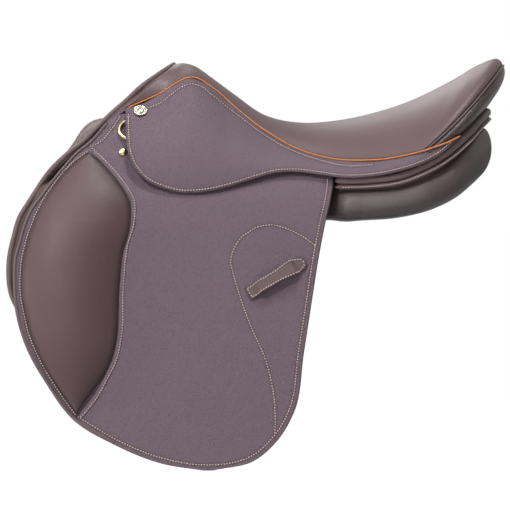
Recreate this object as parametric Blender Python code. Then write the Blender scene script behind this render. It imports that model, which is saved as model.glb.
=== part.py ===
"""Polo saddle: spring tree, padded leather seat, skirts, long flaps with knee pads, panels and billets.

Run from Blender's text editor or with: blender --background --python part.py
The saddle faces -X (pommel) with its cantle at +X. Y = 0 is its plane of symmetry, and the near side is -Y.
The origin lies on that plane at the height of the panels' lowest rear line, where the horse's back carries it.
Outlines are written in millimetres as seen from the side: x along the horse, z up. A leather layer takes its
half-width y from a surface function of x and z, so layers that lie on each other share one formula.
"""

import math

import bmesh
import bpy
import numpy as np
from mathutils import Matrix, Vector

MM = 0.001
GAP = 0.3

# Leather and fittings
FLAP_T = 4.5
SKIRT_T = 4.0
SWEAT_T = 4.0
COVER_T = 3.0
BILLET_T = 4.0
WEB_T = 2.2
PIPING_R = 1.7
WELT_R = 2.4
LINING_T = 3.0
FOAM_DEPTH = 22.0
POINT_PLATE_T = 6.0

# Depths of the layers under the flap's outer face, measured across the saddle
GUARD_CLEARANCE = 0.5
BILLET_DEPTH = FLAP_T + 3.5
WEB_DEPTH = BILLET_DEPTH + BILLET_T + 1.0
SWEAT_DEPTH = WEB_DEPTH + WEB_T + GAP
POINT_DEPTH = WEB_DEPTH + WEB_T + GAP
HEAD_REACH = 79.0 - POINT_DEPTH
HEAD_RISE = 61.5 - POINT_DEPTH

# Folds
FOLD_Z = 30.0
FOLD_REACH = 14.0
SKIRT_REACH = 16.0
SPLIT_GAP = 0.6

# Small fittings
BILLET_WIDTH = 27.0
BILLET_PITCH = 36.0
BILLET_MIDDLE_X = -56.0
BILLET_TOP_Z = 44.0
BILLET_END_Z = -240.0
BILLET_LEAN_Z = -112.0
BILLET_HOLES = 6
BILLET_HOLE_PITCH = 18.0
BILLET_HOLE_R = 2.5
GUARD_TOP_Z = -20.0
GUARD_HEIGHT = 60.0
BAR_X = -116.0
BAR_Z = 90.0
BAR_LENGTH = 96.0
BAR_HEIGHT = 14.0
BAR_PLATE_T = 3.0
BAR_SLOT = 7.5
BAR_FINGER_T = 5.2
CATCH_REACH = 7.0
CATCH_LAP = 8.0
PIN_R = 1.5
DEE_WIRE_R = 2.0
DEE_OUTER_R = 13.4
DEE_X = -192.6
DEE_Z = 109.4
KEEPER_WIDTH = 16.0
KEEPER_T = 3.0
KEEPER_RISE = 6.0
NAIL_R = 8.0
STUD_R = 5.3
CHANNEL_HALF = 32.0

# Half-width of the flap's outer face against height: bent over the tree, flat below the fold
FLAP_FLAT_Y = 143.0
FLAP_SLOPE = 0.25
FLAP_BEND = [(0, FLAP_FLAT_Y), (30, 132.5), (60, 115.5), (90, 98.5), (120, 82), (142, 68), (165, 53), (191, 30)]

# Outlines seen from the side, (x, z)
FLAP_FRONT = [(-205, 135), (-221, 121), (-241, 98), (-258, 84), (-274, 66), (-288, 48.6), (-301, 31),
              (-310, 19), (-319, 0), (-326.5, -26), (-331, -43), (-332, -65), (-329, -108), (-316, -151),
              (-293, -192), (-258, -238), (-211, -266), (-153, -289), (-104, -297)]
FLAP_REAR = [(-172, 122), (-174, 105), (-174, 88), (-158, 72), (-120, 66), (-30, 60), (48, 52), (46, 30),
             (43, 1), (35, -40), (27, -90), (16.6, -157), (5, -227), (-14, -260), (-42, -285), (-92, -297)]
SWEAT_FRONT = [(-283, 60), (-297, 44), (-315, 15), (-325, -10), (-332, -40), (-333, -65), (-328, -92),
               (-318, -120), (-300, -160), (-265, -205), (-215, -245), (-150, -268), (-100, -274)]
SWEAT_REAR = [(24, 60), (26, 30), (24, 0), (18, -45), (10, -95), (0, -155), (-14, -215), (-50, -260),
              (-88, -274)]
BINDING = [(-329, 0, -112), (-336, 0, -90), (-340, 0, -65), (-339.5, 0, -43), (-336, 0, -26),
           (-329, 0, 3), (-319, 0, 20), (-309, 0, 36), (-297, 0, 54), (-283, 0, 71), (-264, 0, 89),
           (-246, 0, 101), (-223, 0, 128), (-206, 0, 142), (-188, 0, 160), (-164, 0, 177), (-141, 0, 191)]
PAD_FRONT = [(86, -244), (73, -260), (60, -273.6), (44, -285.6), (26, -297.6), (7, -307), (-13, -315),
             (-43, -323), (-90, -324), (-136, -314), (-176, -295), (-215, -270), (-232, -257)]
PAD_REAR = [(86, -240), (71, -227), (54, -211), (38, -200), (23, -192), (3, -191), (-17, -194),
            (-49, -202), (-108, -206), (-157, -211), (-180, -221), (-219, -248), (-232, -254)]
PAD_CROWN = [(86, 2), (60, 5), (30, 10), (0, 16), (-60, 22), (-150, 21), (-200, 12), (-232, 3)]
SKIRT_LOW = [(-198, 126), (-197, 105), (-194, 81), (-186, 64), (-173, 50), (-152, 40), (-133, 35), (-95, 37),
             (-74, 42), (-42, 52), (-19, 58.6), (12, 60)]
SKIRT_TAIL = [(12, 60), (36, 56.6), (65, 52.8), (95, 54), (133, 61), (163, 71.3), (182, 82), (195, 91.5),
              (203, 97)]
SKIRT_FOLD = [(-197, 132), (12, 60)]

# The seat's middle line (u, x, z) and its edge (u, x, y, z), from pommel to cantle
SEAT_MIDDLE = [(0, -137, 190.5), (.08, -127, 192), (.16, -115, 189.5), (.24, -95, 177.5), (.34, -65, 155),
               (.44, -30, 128), (.54, 12, 119.5), (.64, 58, 124.5), (.74, 108, 135.5), (.82, 150, 152),
               (.9, 200, 176), (1, 256, 192)]
SEAT_EDGE = [(0, -196, 76, 139), (.08, -160, 64, 155), (.16, -118, 50, 175.2), (.24, -92, 50.5, 163),
             (.34, -62, 57, 136.5), (.44, -28, 71, 110.5), (.54, 12, 88, 88.5), (.64, 58, 107, 76.8),
             (.74, 108, 126, 76.4), (.82, 134, 133, 80.5), (.9, 152, 137.5, 84.5), (1, 162, 139, 88)]
SEAT_BEND = [(0, 68), (.2, 55), (.5, 48), (.75, 58), (1, 84)]
CROWN_LIFT = [(0, 0), (.82, 0), (.93, 7), (1, 0)]
# Half-width and height of the skirt's top edge and the half-width and height at its foot, along x
SKIRT_TOP = [(-198, 78, 139), (-178, 71, 144.5), (-160, 64.5, 154.5), (-142, 57.5, 165), (-118, 51, 175),
             (-95, 51, 165), (-75, 53.5, 148), (-58, 59, 133.7), (-42, 65, 120), (-3, 83, 94.8),
             (36, 99, 80), (66, 111, 75.5), (95, 122, 74.5), (126, 132, 78), (154, 138, 84.5),
             (180, 138, 93), (206, 125, 105.8)]
SKIRT_FOOT = [(-198, 32), (-80, 32), (-42, 44), (0, 52), (36, 51), (95, 50), (133, 56), (163, 66), (182, 77),
              (206, 96)]
SKIRT_FOOT_Y = [(-198, 133.4), (-80, 133.4), (-42, 128.8), (0, 125.5), (36, 127), (60, 131), (95, 136),
                (133, 143), (163, 144), (182, 141), (206, 128)]

# Panel sections (x, then y and z of outer top, outer foot, inner foot, inner top)
PANEL = [(-263, 84, 92, 90, 74, 82, 80, 76, 92), (-250, 76, 114, 99, 40, 78, 44, 56, 112),
         (-228, 66, 127, 121, -6, 90, -6, 44, 124), (-190, 68, 107, 129.7, -32, 98, -30, 38, 102),
         (-140, 74, 92, 130.5, -30, 78, -10, 34, 84), (-80, 84, 74, 129.1, -16, 32, 36, 32, 74),
         (-20, 90, 62, 125, -10, 32, 28, 32, 64), (30, 96, 51, 121, -1, 32, 24, 32, 60),
         (52, 108, 44, 128, 1, 32, 24, 32, 60), (64, 122, 41.3, 133, 2, 32, 24, 32, 60),
         (90, 128, 41.3, 136, 3, 32, 25, 32, 60), (132, 134, 44.3, 141, 8.5, 32, 30, 32, 64),
         (172, 134, 59.3, 139, 20, 32, 40, 32, 78), (204, 120, 82, 126, 36, 33, 52, 33, 92),
         (222, 96, 100, 102, 52, 34, 64, 34, 104), (235, 66, 111, 74, 72, 38, 80, 38, 110),
         (241, 54, 108, 58, 90, 44, 92, 44, 107)]
FACING = [(54, 121, 45), (95, 126.5, 46), (133, 133, 51), (172, 133, 67.5), (192, 126, 81), (211, 111.5, 98),
          (226, 86, 115), (234, 50, 124), (237, 0, 127)]

COLOURS = {
    "flap_leather": ((0.19, 0.145, 0.165), 0.5, 0.0),
    "calf_leather": ((0.145, 0.105, 0.105), 0.38, 0.0),
    "panel_leather": ((0.10, 0.078, 0.078), 0.45, 0.0),
    "edge_leather": ((0.13, 0.115, 0.12), 0.45, 0.0),
    "strap_leather": ((0.15, 0.11, 0.12), 0.5, 0.0),
    "orange_piping": ((0.70, 0.26, 0.09), 0.5, 0.0),
    "brass": ((0.80, 0.66, 0.36), 0.25, 1.0),
    "nickel": ((0.72, 0.72, 0.66), 0.3, 1.0),
    "steel": ((0.55, 0.55, 0.56), 0.32, 1.0),
    "laminated_wood": ((0.45, 0.30, 0.17), 0.5, 0.0),
    "canvas": ((0.62, 0.55, 0.42), 0.85, 0.0),
    "foam": ((0.75, 0.72, 0.62), 0.9, 0.0),
}


def clear_scene():
    for obj in list(bpy.data.objects):
        bpy.data.objects.remove(obj, do_unlink=True)


def material(slot):
    """The slot's Principled material, made once."""
    if slot in bpy.data.materials:
        return bpy.data.materials[slot]
    colour, roughness, metallic = COLOURS[slot]
    made = bpy.data.materials.new(slot)
    made.use_nodes = True
    shader = made.node_tree.nodes["Principled BSDF"]
    shader.inputs["Base Color"].default_value = (*colour, 1.0)
    shader.inputs["Roughness"].default_value = roughness
    shader.inputs["Metallic"].default_value = metallic
    made.diffuse_color = (*colour, 1.0)
    return made


def curve(knots, at):
    """A smooth value at each place through (place, value) knots: cubic pieces with averaged slopes."""
    xs, ys = np.array(sorted(knots), float).T
    slopes = np.gradient(ys, xs)
    at = np.clip(np.asarray(at, float), xs[0], xs[-1])
    i = np.clip(np.searchsorted(xs, at, side="right") - 1, 0, len(xs) - 2)
    width = xs[i + 1] - xs[i]
    t = (at - xs[i]) / width
    return ((1 + 2 * t) * (1 - t) ** 2 * ys[i] + t * (1 - t) ** 2 * width * slopes[i]
            + t * t * (3 - 2 * t) * ys[i + 1] + t * t * (t - 1) * width * slopes[i + 1])


def path(points, count, even=True):
    """count points along a smooth curve through the given ones, evenly spaced by chord length."""
    points = np.array(points, float)
    steps = np.linalg.norm(np.diff(points, axis=0), axis=1)
    along = np.concatenate([[0], np.cumsum(steps)])
    places = np.linspace(0, along[-1], count) if even else along
    return np.stack([curve(list(zip(along, column)), places) for column in points.T], axis=1)


def flap_y(z):
    """Half-width of the flap's outer face: a bend over the tree above z = 0, a flat sheet below."""
    z = np.asarray(z, float)
    return np.where(z > 0, curve(FLAP_BEND, z), FLAP_FLAT_Y - FLAP_SLOPE * z)


def skirt_y(x, z):
    """Half-width of the skirt's outer face: it leaves the piping steeply and comes down upright."""
    top_y = curve([(k[0], k[1]) for k in SKIRT_TOP], x)
    top_z = curve([(k[0], k[2]) for k in SKIRT_TOP], x)
    foot_z = curve(SKIRT_FOOT, x)
    foot_y = curve(SKIRT_FOOT_Y, x)
    q = np.clip((top_z - z) / (top_z - foot_z), 0, 1)
    return top_y + (foot_y - top_y) * (1 - (1 - q) ** 2)


def seat_grid(us, ts):
    """Points of the seat's top face: each u is a bow from the middle line to both edges."""
    u = np.asarray(us, float)[:, None]
    t = np.asarray(ts, float)[None, :]
    bend = np.radians(curve(SEAT_BEND, u))
    w = (1 - np.cos(np.abs(t) * bend)) / (1 - np.cos(bend))
    side = np.sin(t * bend) / np.sin(bend)
    middle = [curve([(k[0], k[i]) for k in SEAT_MIDDLE], u) for i in (1, 2)]
    edge = [curve([(k[0], k[i]) for k in SEAT_EDGE], u) for i in (1, 2, 3)]
    x = middle[0] + (edge[0] - middle[0]) * w
    y = edge[1] * side
    z = middle[1] + (edge[2] - middle[1]) * w + curve(CROWN_LIFT, u) * (1 - t * t)
    return np.stack(np.broadcast_arrays(x, y, z), axis=-1)


def offset_grid(grid, distance):
    """The grid moved along its normals, which point up for the seat."""
    along = np.gradient(grid, axis=0)
    across = np.gradient(grid, axis=1)
    normal = np.cross(along, across)
    normal /= np.linalg.norm(normal, axis=-1, keepdims=True)
    return grid + distance * normal


def finish(name, bm, slot, angle=40):
    """The bmesh, in millimetres, as a closed object in metres."""
    bmesh.ops.recalc_face_normals(bm, faces=bm.faces)
    bmesh.ops.scale(bm, vec=(MM, MM, MM), verts=bm.verts)
    mesh = bpy.data.meshes.new(name)
    bm.to_mesh(mesh)
    bm.free()
    mesh.shade_smooth()
    mesh.set_sharp_from_angle(angle=math.radians(angle))
    mesh.materials.append(material(slot))
    obj = bpy.data.objects.new(name, mesh)
    bpy.context.scene.collection.objects.link(obj)
    return obj


def grid_solid(name, front, back, slot):
    """A closed sheet between two grids of points of one shape."""
    rows, columns = front.shape[:2]
    bm = bmesh.new()
    sheets = [[[bm.verts.new(p) for p in row] for row in grid] for grid in (front, back)]
    for sheet, order in zip(sheets, (1, -1)):
        for i in range(rows - 1):
            for j in range(columns - 1):
                ring = [sheet[i][j], sheet[i + 1][j], sheet[i + 1][j + 1], sheet[i][j + 1]]
                bm.faces.new(ring[::order])
    rim = ([(0, j) for j in range(columns - 1)] + [(i, columns - 1) for i in range(rows - 1)]
           + [(rows - 1, j) for j in range(columns - 1, 0, -1)] + [(i, 0) for i in range(rows - 1, 0, -1)])
    for (i, j), (k, m) in zip(rim, rim[1:] + rim[:1]):
        bm.faces.new([sheets[0][i][j], sheets[0][k][m], sheets[1][k][m], sheets[1][i][j]])
    return finish(name, bm, slot)


def loft(name, rings, slot, angle=40):
    """A closed body through rings of points, with a flat fan at each end."""
    bm = bmesh.new()
    loops = [[bm.verts.new(p) for p in ring] for ring in rings]
    count = len(loops[0])
    for a, b in zip(loops, loops[1:]):
        for j in range(count):
            k = (j + 1) % count
            bm.faces.new([a[j], a[k], b[k], b[j]])
    bm.faces.new(loops[0][::-1])
    bm.faces.new(loops[-1])
    return finish(name, bm, slot, angle)


def tube(name, points, radii, slot, sides=6):
    """A body of elliptical section swept along points; radii are (in the sheet, across the saddle)."""
    points = np.array(points, float)
    tangent = np.gradient(points, axis=0)
    tangent /= np.linalg.norm(tangent, axis=1, keepdims=True)
    across = np.cross(tangent, np.cross(np.array([0.0, 1.0, 0.0]) + 0 * tangent, tangent))
    flat = np.linalg.norm(across, axis=1) < 0.35
    across[flat] = np.cross(tangent[flat], np.cross(np.array([0.0, 0.0, 1.0]), tangent[flat]))
    return swept(name, points, tangent, across, radii, slot, sides)


def swept(name, points, tangent, across, radii, slot, sides):
    """The swept body of tube, with the section's second axis given."""
    across = across / np.linalg.norm(across, axis=1, keepdims=True)
    other = np.cross(tangent, across)
    turns = np.linspace(0, 2 * math.pi, sides, endpoint=False)
    rings = [p + radii[0] * np.outer(np.cos(turns), o) + radii[1] * np.outer(np.sin(turns), a)
             for p, o, a in zip(points, other, across)]
    return loft(name, rings, slot, 60)


def ruled(first, second, rows, columns):
    """A grid in the side view between two curves: rows follow the curves, columns go from one to the other."""
    a = path(first, rows)
    b = path(second, rows)
    t = np.linspace(0, 1, columns)[None, :, None]
    return a[:, None, :] * (1 - t) + b[:, None, :] * t


def layer(name, plan, outer, thickness, side, slot):
    """A leather sheet: a side-view grid given a half-width by outer(x, z), and a thickness inward."""
    x, z = plan[..., 0], plan[..., 1]
    y = outer(x, z)
    front = np.stack([x, side * y, z], axis=-1)
    back = np.stack([x, side * (y - thickness), z], axis=-1)
    return grid_solid(name, front, back, slot)


def cut_path(points, low, high):
    """The part of an outline's fine smooth curve whose z lies between low and high."""
    fine = path(points, 160)
    kept = fine[(fine[:, 1] >= low) & (fine[:, 1] <= high)]
    return kept


def plane_basis(side, slope):
    """Axes of a leather plane whose half-width grows by slope per unit of drop: along, outward, upward."""
    outward = Vector((0, side, slope)).normalized()
    along = Vector((1, 0, 0))
    upward = Vector((0, -side * slope, 1)).normalized()
    return along, outward, upward


def placed(name, bm, slot, origin, axes, turn=0.0):
    """The bmesh moved from its own (along, outward, upward) axes to an origin on the saddle."""
    frame = Matrix([list(column) + [0] for column in axes] + [[0, 0, 0, 1]]).transposed()
    frame = Matrix.Translation(Vector(origin)) @ frame @ Matrix.Rotation(turn, 4, "Y")
    bmesh.ops.transform(bm, matrix=frame, verts=bm.verts)
    return finish(name, bm, slot)


def box_bm(low, high):
    bm = bmesh.new()
    bmesh.ops.create_cube(bm, size=1.0)
    low, high = Vector(low), Vector(high)
    size = high - low
    bmesh.ops.scale(bm, vec=size, verts=bm.verts)
    bmesh.ops.translate(bm, vec=(low + high) / 2, verts=bm.verts)
    return bm


def extruded_bm(outline, low, high, axis):
    """A prism of an outline; axis 1 extrudes outward, axis 2 upward. The outline gives the other two."""
    bm = bmesh.new()
    keep = [i for i in range(3) if i != axis]
    rings = []
    for level in (low, high):
        ring = []
        for point in outline:
            place = [0.0, 0.0, 0.0]
            place[keep[0]], place[keep[1]], place[axis] = point[0], point[1], level
            ring.append(bm.verts.new(place))
        rings.append(ring)
    bm.faces.new(rings[0])
    bm.faces.new(rings[1][::-1])
    for i in range(len(outline)):
        k = (i + 1) % len(outline)
        bm.faces.new([rings[0][i], rings[0][k], rings[1][k], rings[1][i]])
    return bm


def disc(radius, sides, start=0.0):
    """Points round a circle about the origin."""
    turns = start + np.linspace(0, 2 * math.pi, sides, endpoint=False)
    return np.stack([radius * np.cos(turns), radius * np.sin(turns)], axis=1)


def cut(target, name, bm, origin, axes):
    """Takes the bmesh out of the target with an exact Boolean."""
    cutter = placed(name, bm, "steel", origin, axes)
    cutter.hide_render = True
    cutter.display_type = "WIRE"
    boolean = target.modifiers.new(name, "BOOLEAN")
    boolean.operation = "DIFFERENCE"
    boolean.object = cutter


def hinge_at(obj, point):
    """Puts the object's origin on its joint's axis, with its mesh left in place."""
    point = Vector(point) * MM
    obj.data.transform(Matrix.Translation(-point))
    obj.location = point


def add_seat():
    us = np.linspace(0, 1, 19)
    ts = np.sin(np.linspace(-math.pi / 2, math.pi / 2, 17))
    top = seat_grid(us, ts)
    grid_solid("seat_cover", top, offset_grid(top, -COVER_T), "calf_leather")
    us = np.linspace(0.05, 0.97, 13)
    ts = np.linspace(-0.93, 0.93, 9)
    top = offset_grid(seat_grid(us, ts), -COVER_T - GAP - 1.2)
    depth = FOAM_DEPTH * (1 - 0.6 * ts[None, :] ** 2) * np.ones((len(us), 1))
    bottom = top - np.stack([0 * depth, 0 * depth, depth], axis=-1)
    grid_solid("seat_foam", top, bottom, "foam")
    return bottom


def add_seat_trim():
    """The rim welt, the leather behind the cantle and the piping on both edges."""
    rim, outward = cantle_rim(25, 0.975)
    tube("cantle_welt", rim + (WELT_R + 0.6) * outward - [0, 0, 0.6], (WELT_R, WELT_R), "edge_leather", 6)
    us = np.linspace(0, 1, 31)
    for side, word in ((-1, "left"), (1, "right")):
        edge = seat_grid(us, [side * 1.0])[:, 0]
        line = np.concatenate([edge[:-1], [[176, side * 139.8, 90.2], [190, side * 135, 96],
                                           [205, side * 126, 104]]])
        line = line + np.array([0, side * (PIPING_R + 0.6), -PIPING_R - 0.3])
        tube("seat_piping_" + word, path(line, 40), (PIPING_R, PIPING_R), "orange_piping", 5)


def cantle_rim(count, reach):
    """Points along the cantle's rim and the level direction that leads out of it at each."""
    rim = seat_grid([1.0], np.linspace(-reach, reach, count))[0]
    along = np.gradient(rim, axis=0)
    outward = np.stack([along[:, 1], -along[:, 0], 0 * along[:, 0]], axis=1)
    return rim, outward / np.linalg.norm(outward, axis=1, keepdims=True)


def add_cantle():
    """The leather that falls from the rim to the facing, and the wooden cantle frame it covers."""
    rim, outward = cantle_rim(21, 0.93)
    foot = path([(p[0], -p[1], p[2]) for p in FACING[3:]] + [p for p in FACING[:2:-1]][1:], 21)
    foot = foot * [1, 0.965, 1] + [0, 0, 11.3]
    v = np.linspace(0, 1, 5)[:, None, None]
    top = rim - [0, 0, 7]
    sheet = top[None] * (1 - v) + foot[None] * v + np.sin(np.pi * v) * 4.0 * outward[None]
    inner = sheet - 3.0 * outward[None]
    grid_solid("cantle_back", sheet, inner, "calf_leather")
    frame = (rim - [0, 0, 43] - 21.9 * outward)[5:-5]
    along = np.gradient(frame, axis=0)
    along /= np.linalg.norm(along, axis=1, keepdims=True)
    swept("cantle_frame", frame, along, outward[5:-5], (8, 4), "laminated_wood", 6)


def add_tree(foam_bottom):
    """Head plate, point plates, rails, cantle frame and webbing under the foam."""
    turns = np.linspace(-math.pi / 2, math.pi / 2, 15)
    rings = []
    for turn in turns:
        y, z = HEAD_REACH * math.sin(turn), 100.5 + HEAD_RISE * math.cos(turn)
        out = np.array([0, math.sin(turn), math.cos(turn)])
        centre = np.array([-152.0, y, z])
        rings.append([centre + np.array([dx, 0, 0]) + out * dn
                      for dx, dn in ((-20, -2.5), (20, -2.5), (20, 2.5), (-20, 2.5))])
    loft("head_plate", rings, "steel")
    under = foam_bottom - [0, 0, 2 * GAP]
    grid_solid("seat_webbing", under[:, 3:6], under[:, 3:6] - [0, 0, 1.6], "canvas")
    for side, word, column in ((-1, "left", 1), (1, "right", 7)):
        line = under[:-2, column] - [0, 0, 8]
        line = np.concatenate([[line[0] + 0.22 * (line[0] - line[1])], line])
        along = np.gradient(line, axis=0)
        along /= np.linalg.norm(along, axis=1, keepdims=True)
        level = np.stack([along[:, 1], -along[:, 0], 0 * along[:, 0]], axis=1)
        swept("tree_rail_" + word, line, along, level, (3.2, 9), "laminated_wood", 6)
    for side, word in ((-1, "left"), (1, "right")):
        plan = ruled([(-174, 122), (-174, 66)], [(-46, 104), (-46, 66)], 5, 4)
        layer("point_plate_" + word, plan, lambda x, z: flap_y(z) - POINT_DEPTH, POINT_PLATE_T, side,
              "laminated_wood")


def add_panels():
    turns = np.linspace(0, 2 * math.pi, 14, endpoint=False)
    across = 0.5 + 0.5 * np.sign(np.cos(turns)) * np.abs(np.cos(turns)) ** 0.62
    up = 0.5 + 0.5 * np.sign(np.sin(turns)) * np.abs(np.sin(turns)) ** 0.62
    xs = np.concatenate([np.linspace(-263, 30, 16), np.linspace(44, 204, 10), [214, 222, 230, 236, 240, 242]])
    xs = np.clip(xs, -263, 241)
    xs[-1] = 241
    xs[-2] = 239.5
    keys = [curve([(k[0], k[i]) for k in PANEL], xs) for i in range(1, 9)]
    ay, az, by, bz, cy, cz, dy, dz = [k[:, None] for k in keys]
    s, r = across[None, :], up[None, :]
    y = (ay * s + dy * (1 - s)) * r + (by * s + cy * (1 - s)) * (1 - r)
    z = (az * s + dz * (1 - s)) * r + (bz * s + cz * (1 - s)) * (1 - r)
    x = xs[:, None] + 0 * y
    for side, word in ((-1, "left"), (1, "right")):
        loft("panel_" + word, np.stack([x, side * y, z], axis=-1), "panel_leather", 60)
    lining_x = np.linspace(-130, 226, 12)
    roof = curve([(k[0], k[8]) for k in PANEL], lining_x) - 8
    ys = np.linspace(-CHANNEL_HALF + GAP, CHANNEL_HALF - GAP, 3)
    top = np.stack(np.broadcast_arrays(lining_x[:, None], ys[None, :], roof[:, None]), axis=-1)
    grid_solid("gullet_lining", top, top - np.array([0, 0, LINING_T]), "panel_leather")


def add_facing():
    """The stitched roll that runs along the panels' upper rear edge, from one side to the other."""
    near = [(p[0], -p[1], p[2]) for p in FACING]
    far = [p for p in FACING[::-1]][1:]
    points = path(near + far, 41)
    tangent = np.gradient(points, axis=0)
    tangent /= np.linalg.norm(tangent, axis=1, keepdims=True)
    up = np.array([0, 0, 1.0]) - tangent * tangent[:, 2:3]
    swept("rear_facing", points, tangent, up, (4.6, 9.6), "panel_leather", 8)


def add_binding():
    """The rolled binding: up the front of one sweat flap, over the pommel and down the other."""
    half = np.array(BINDING, float)
    half[:, 1] = np.where(half[:, 2] > 60, flap_y(half[:, 2]) - FLAP_T - 0.5, flap_y(half[:, 2]) - SWEAT_DEPTH - 2)
    half[-3:, 1] = (52, 34, 0)
    half[10:14, 1] -= 2
    near = half * np.array([1, -1, 1])
    points = path(np.concatenate([near, half[-2::-1]]), 65)
    tube("pommel_binding", points, (3.6, 3.0), "edge_leather", 6)


def add_leathers(side, word):
    """The layers of one side: skirt, flap, knee pad and sweat flap."""
    flap = lambda x, z: flap_y(z)
    top = [(k[0], k[2] - 5.5) for k in SKIRT_TOP]
    fold = np.array(SKIRT_FOLD, float)
    tail = path([tuple(fold[0])] + [tuple(fold[0] * (1 - t) + fold[1] * t) for t in (.25, .5, .75)] + SKIRT_TAIL,
                25)
    upper = ruled(top, tail, 25, 4)
    layer("skirt_upper_" + word, upper, skirt_y, SKIRT_T, side, "flap_leather")
    drop = np.array([0, -SPLIT_GAP])
    chord = path([tuple(fold[0] + drop), tuple(fold[1] + drop - np.array([6, 0]))], 21)
    low = path(SKIRT_LOW[:-1] + [(5, 59.5)], 21)
    t = np.linspace(0, 1, 6)[None, :, None]
    lobe = chord[:, None] * (1 - t) + low[:, None] * t
    lobe = layer("skirt_" + word, lobe, skirt_y, SKIRT_T, side, "flap_leather")
    hinge_at(lobe, skirt_axis(side)[0])

    upper_front = cut_path(FLAP_FRONT, FOLD_Z + SPLIT_GAP / 2, 200)
    upper_rear = cut_path(FLAP_REAR, FOLD_Z + SPLIT_GAP / 2, 200)
    plan = ruled(upper_front, upper_rear, 12, 9)
    plan[-1, :, 1] = FOLD_Z + SPLIT_GAP / 2
    layer("flap_upper_" + word, plan, flap, FLAP_T, side, "flap_leather")
    front = cut_path(FLAP_FRONT, -400, FOLD_Z - SPLIT_GAP / 2)
    rear = cut_path(FLAP_REAR, -400, FOLD_Z - SPLIT_GAP / 2)
    plan = ruled(front, rear, 19, 6)
    plan[0, :, 1] = FOLD_Z - SPLIT_GAP / 2
    lower = layer("flap_" + word, plan, flap, FLAP_T, side, "flap_leather")
    hinge_at(lower, flap_axis(side))

    for name, zs in (("knee_pad_tip_", np.linspace(86, FOLD_Z + SPLIT_GAP / 2, 5)),
                     ("knee_pad_", np.linspace(FOLD_Z - SPLIT_GAP / 2, -232, 15))):
        t = np.linspace(0, 1, 9)
        first, last = curve(PAD_FRONT, zs)[:, None], curve(PAD_REAR, zs)[:, None]
        x = first * (1 - t) + last * t
        z = zs[:, None] + 0 * x
        rise = 1.5 + curve(PAD_CROWN, zs)[:, None] * (1 - (2 * t - 1) ** 2) ** 0.7
        seat = flap_y(z) + GAP
        front = np.stack([x, side * (seat + rise), z], axis=-1)
        back = np.stack([x, side * seat, z], axis=-1)
        pad = grid_solid(name + word, front, back, "calf_leather")
        if name == "knee_pad_":
            hinge_at(pad, flap_axis(side))

    plan = ruled(SWEAT_FRONT, SWEAT_REAR, 14, 6)
    layer("sweat_flap_" + word, plan, lambda x, z: flap_y(z) - SWEAT_DEPTH, SWEAT_T, side, "strap_leather")


def flap_axis(side):
    """A point on the flap's fold axis, which runs along X outside the leather."""
    return (-140.0, side * (float(flap_y(FOLD_Z)) + FOLD_REACH), FOLD_Z)


def skirt_axis(side):
    """Two points on the skirt's fold axis, which stands square off the leather over the skirt's fold."""
    ends = []
    for x, z in SKIRT_FOLD:
        slope = float(skirt_y(x, z - 1) - skirt_y(x, z + 1)) / 2
        off = SKIRT_REACH / math.hypot(1, slope)
        ends.append((x, side * (float(skirt_y(x, z)) + off), z + slope * off))
    return ends


def add_keeper(side, word):
    """The strap loop that holds the end of the stirrup leather: flat ends and a raised middle."""
    axes = plane_basis(side, FLAP_SLOPE)
    mid_x, mid_z = -17.0, -67.5
    reach, rise, thick = 41.0, KEEPER_RISE, KEEPER_T
    outline = [(-reach, 0), (-reach + 11, 0), (-reach + 16, rise), (reach - 16, rise), (reach - 11, 0),
               (reach, 0), (reach, thick), (reach - 12.5, thick), (reach - 17.5, rise + thick),
               (-reach + 17.5, rise + thick), (-reach + 12.5, thick), (-reach, thick)]
    bm = extruded_bm(outline, -KEEPER_WIDTH / 2, KEEPER_WIDTH / 2, 2)
    base = Vector((mid_x, side * float(flap_y(mid_z)), mid_z)) + axes[1] * GAP
    keeper = placed("keeper_" + word, bm, "strap_leather", base, axes, -math.radians(31))
    hinge_at(keeper, flap_axis(side))


def billet_y(z):
    """Half-width of a billet's outer face, which leans in a little below the guard."""
    return flap_y(z) - BILLET_DEPTH - 0.012 * np.maximum(0, BILLET_LEAN_Z - z)


def billet_origin(side):
    z = BILLET_TOP_Z
    return (BILLET_MIDDLE_X, side * (float(flap_y(z)) - BILLET_DEPTH - BILLET_T / 2), z)


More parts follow.
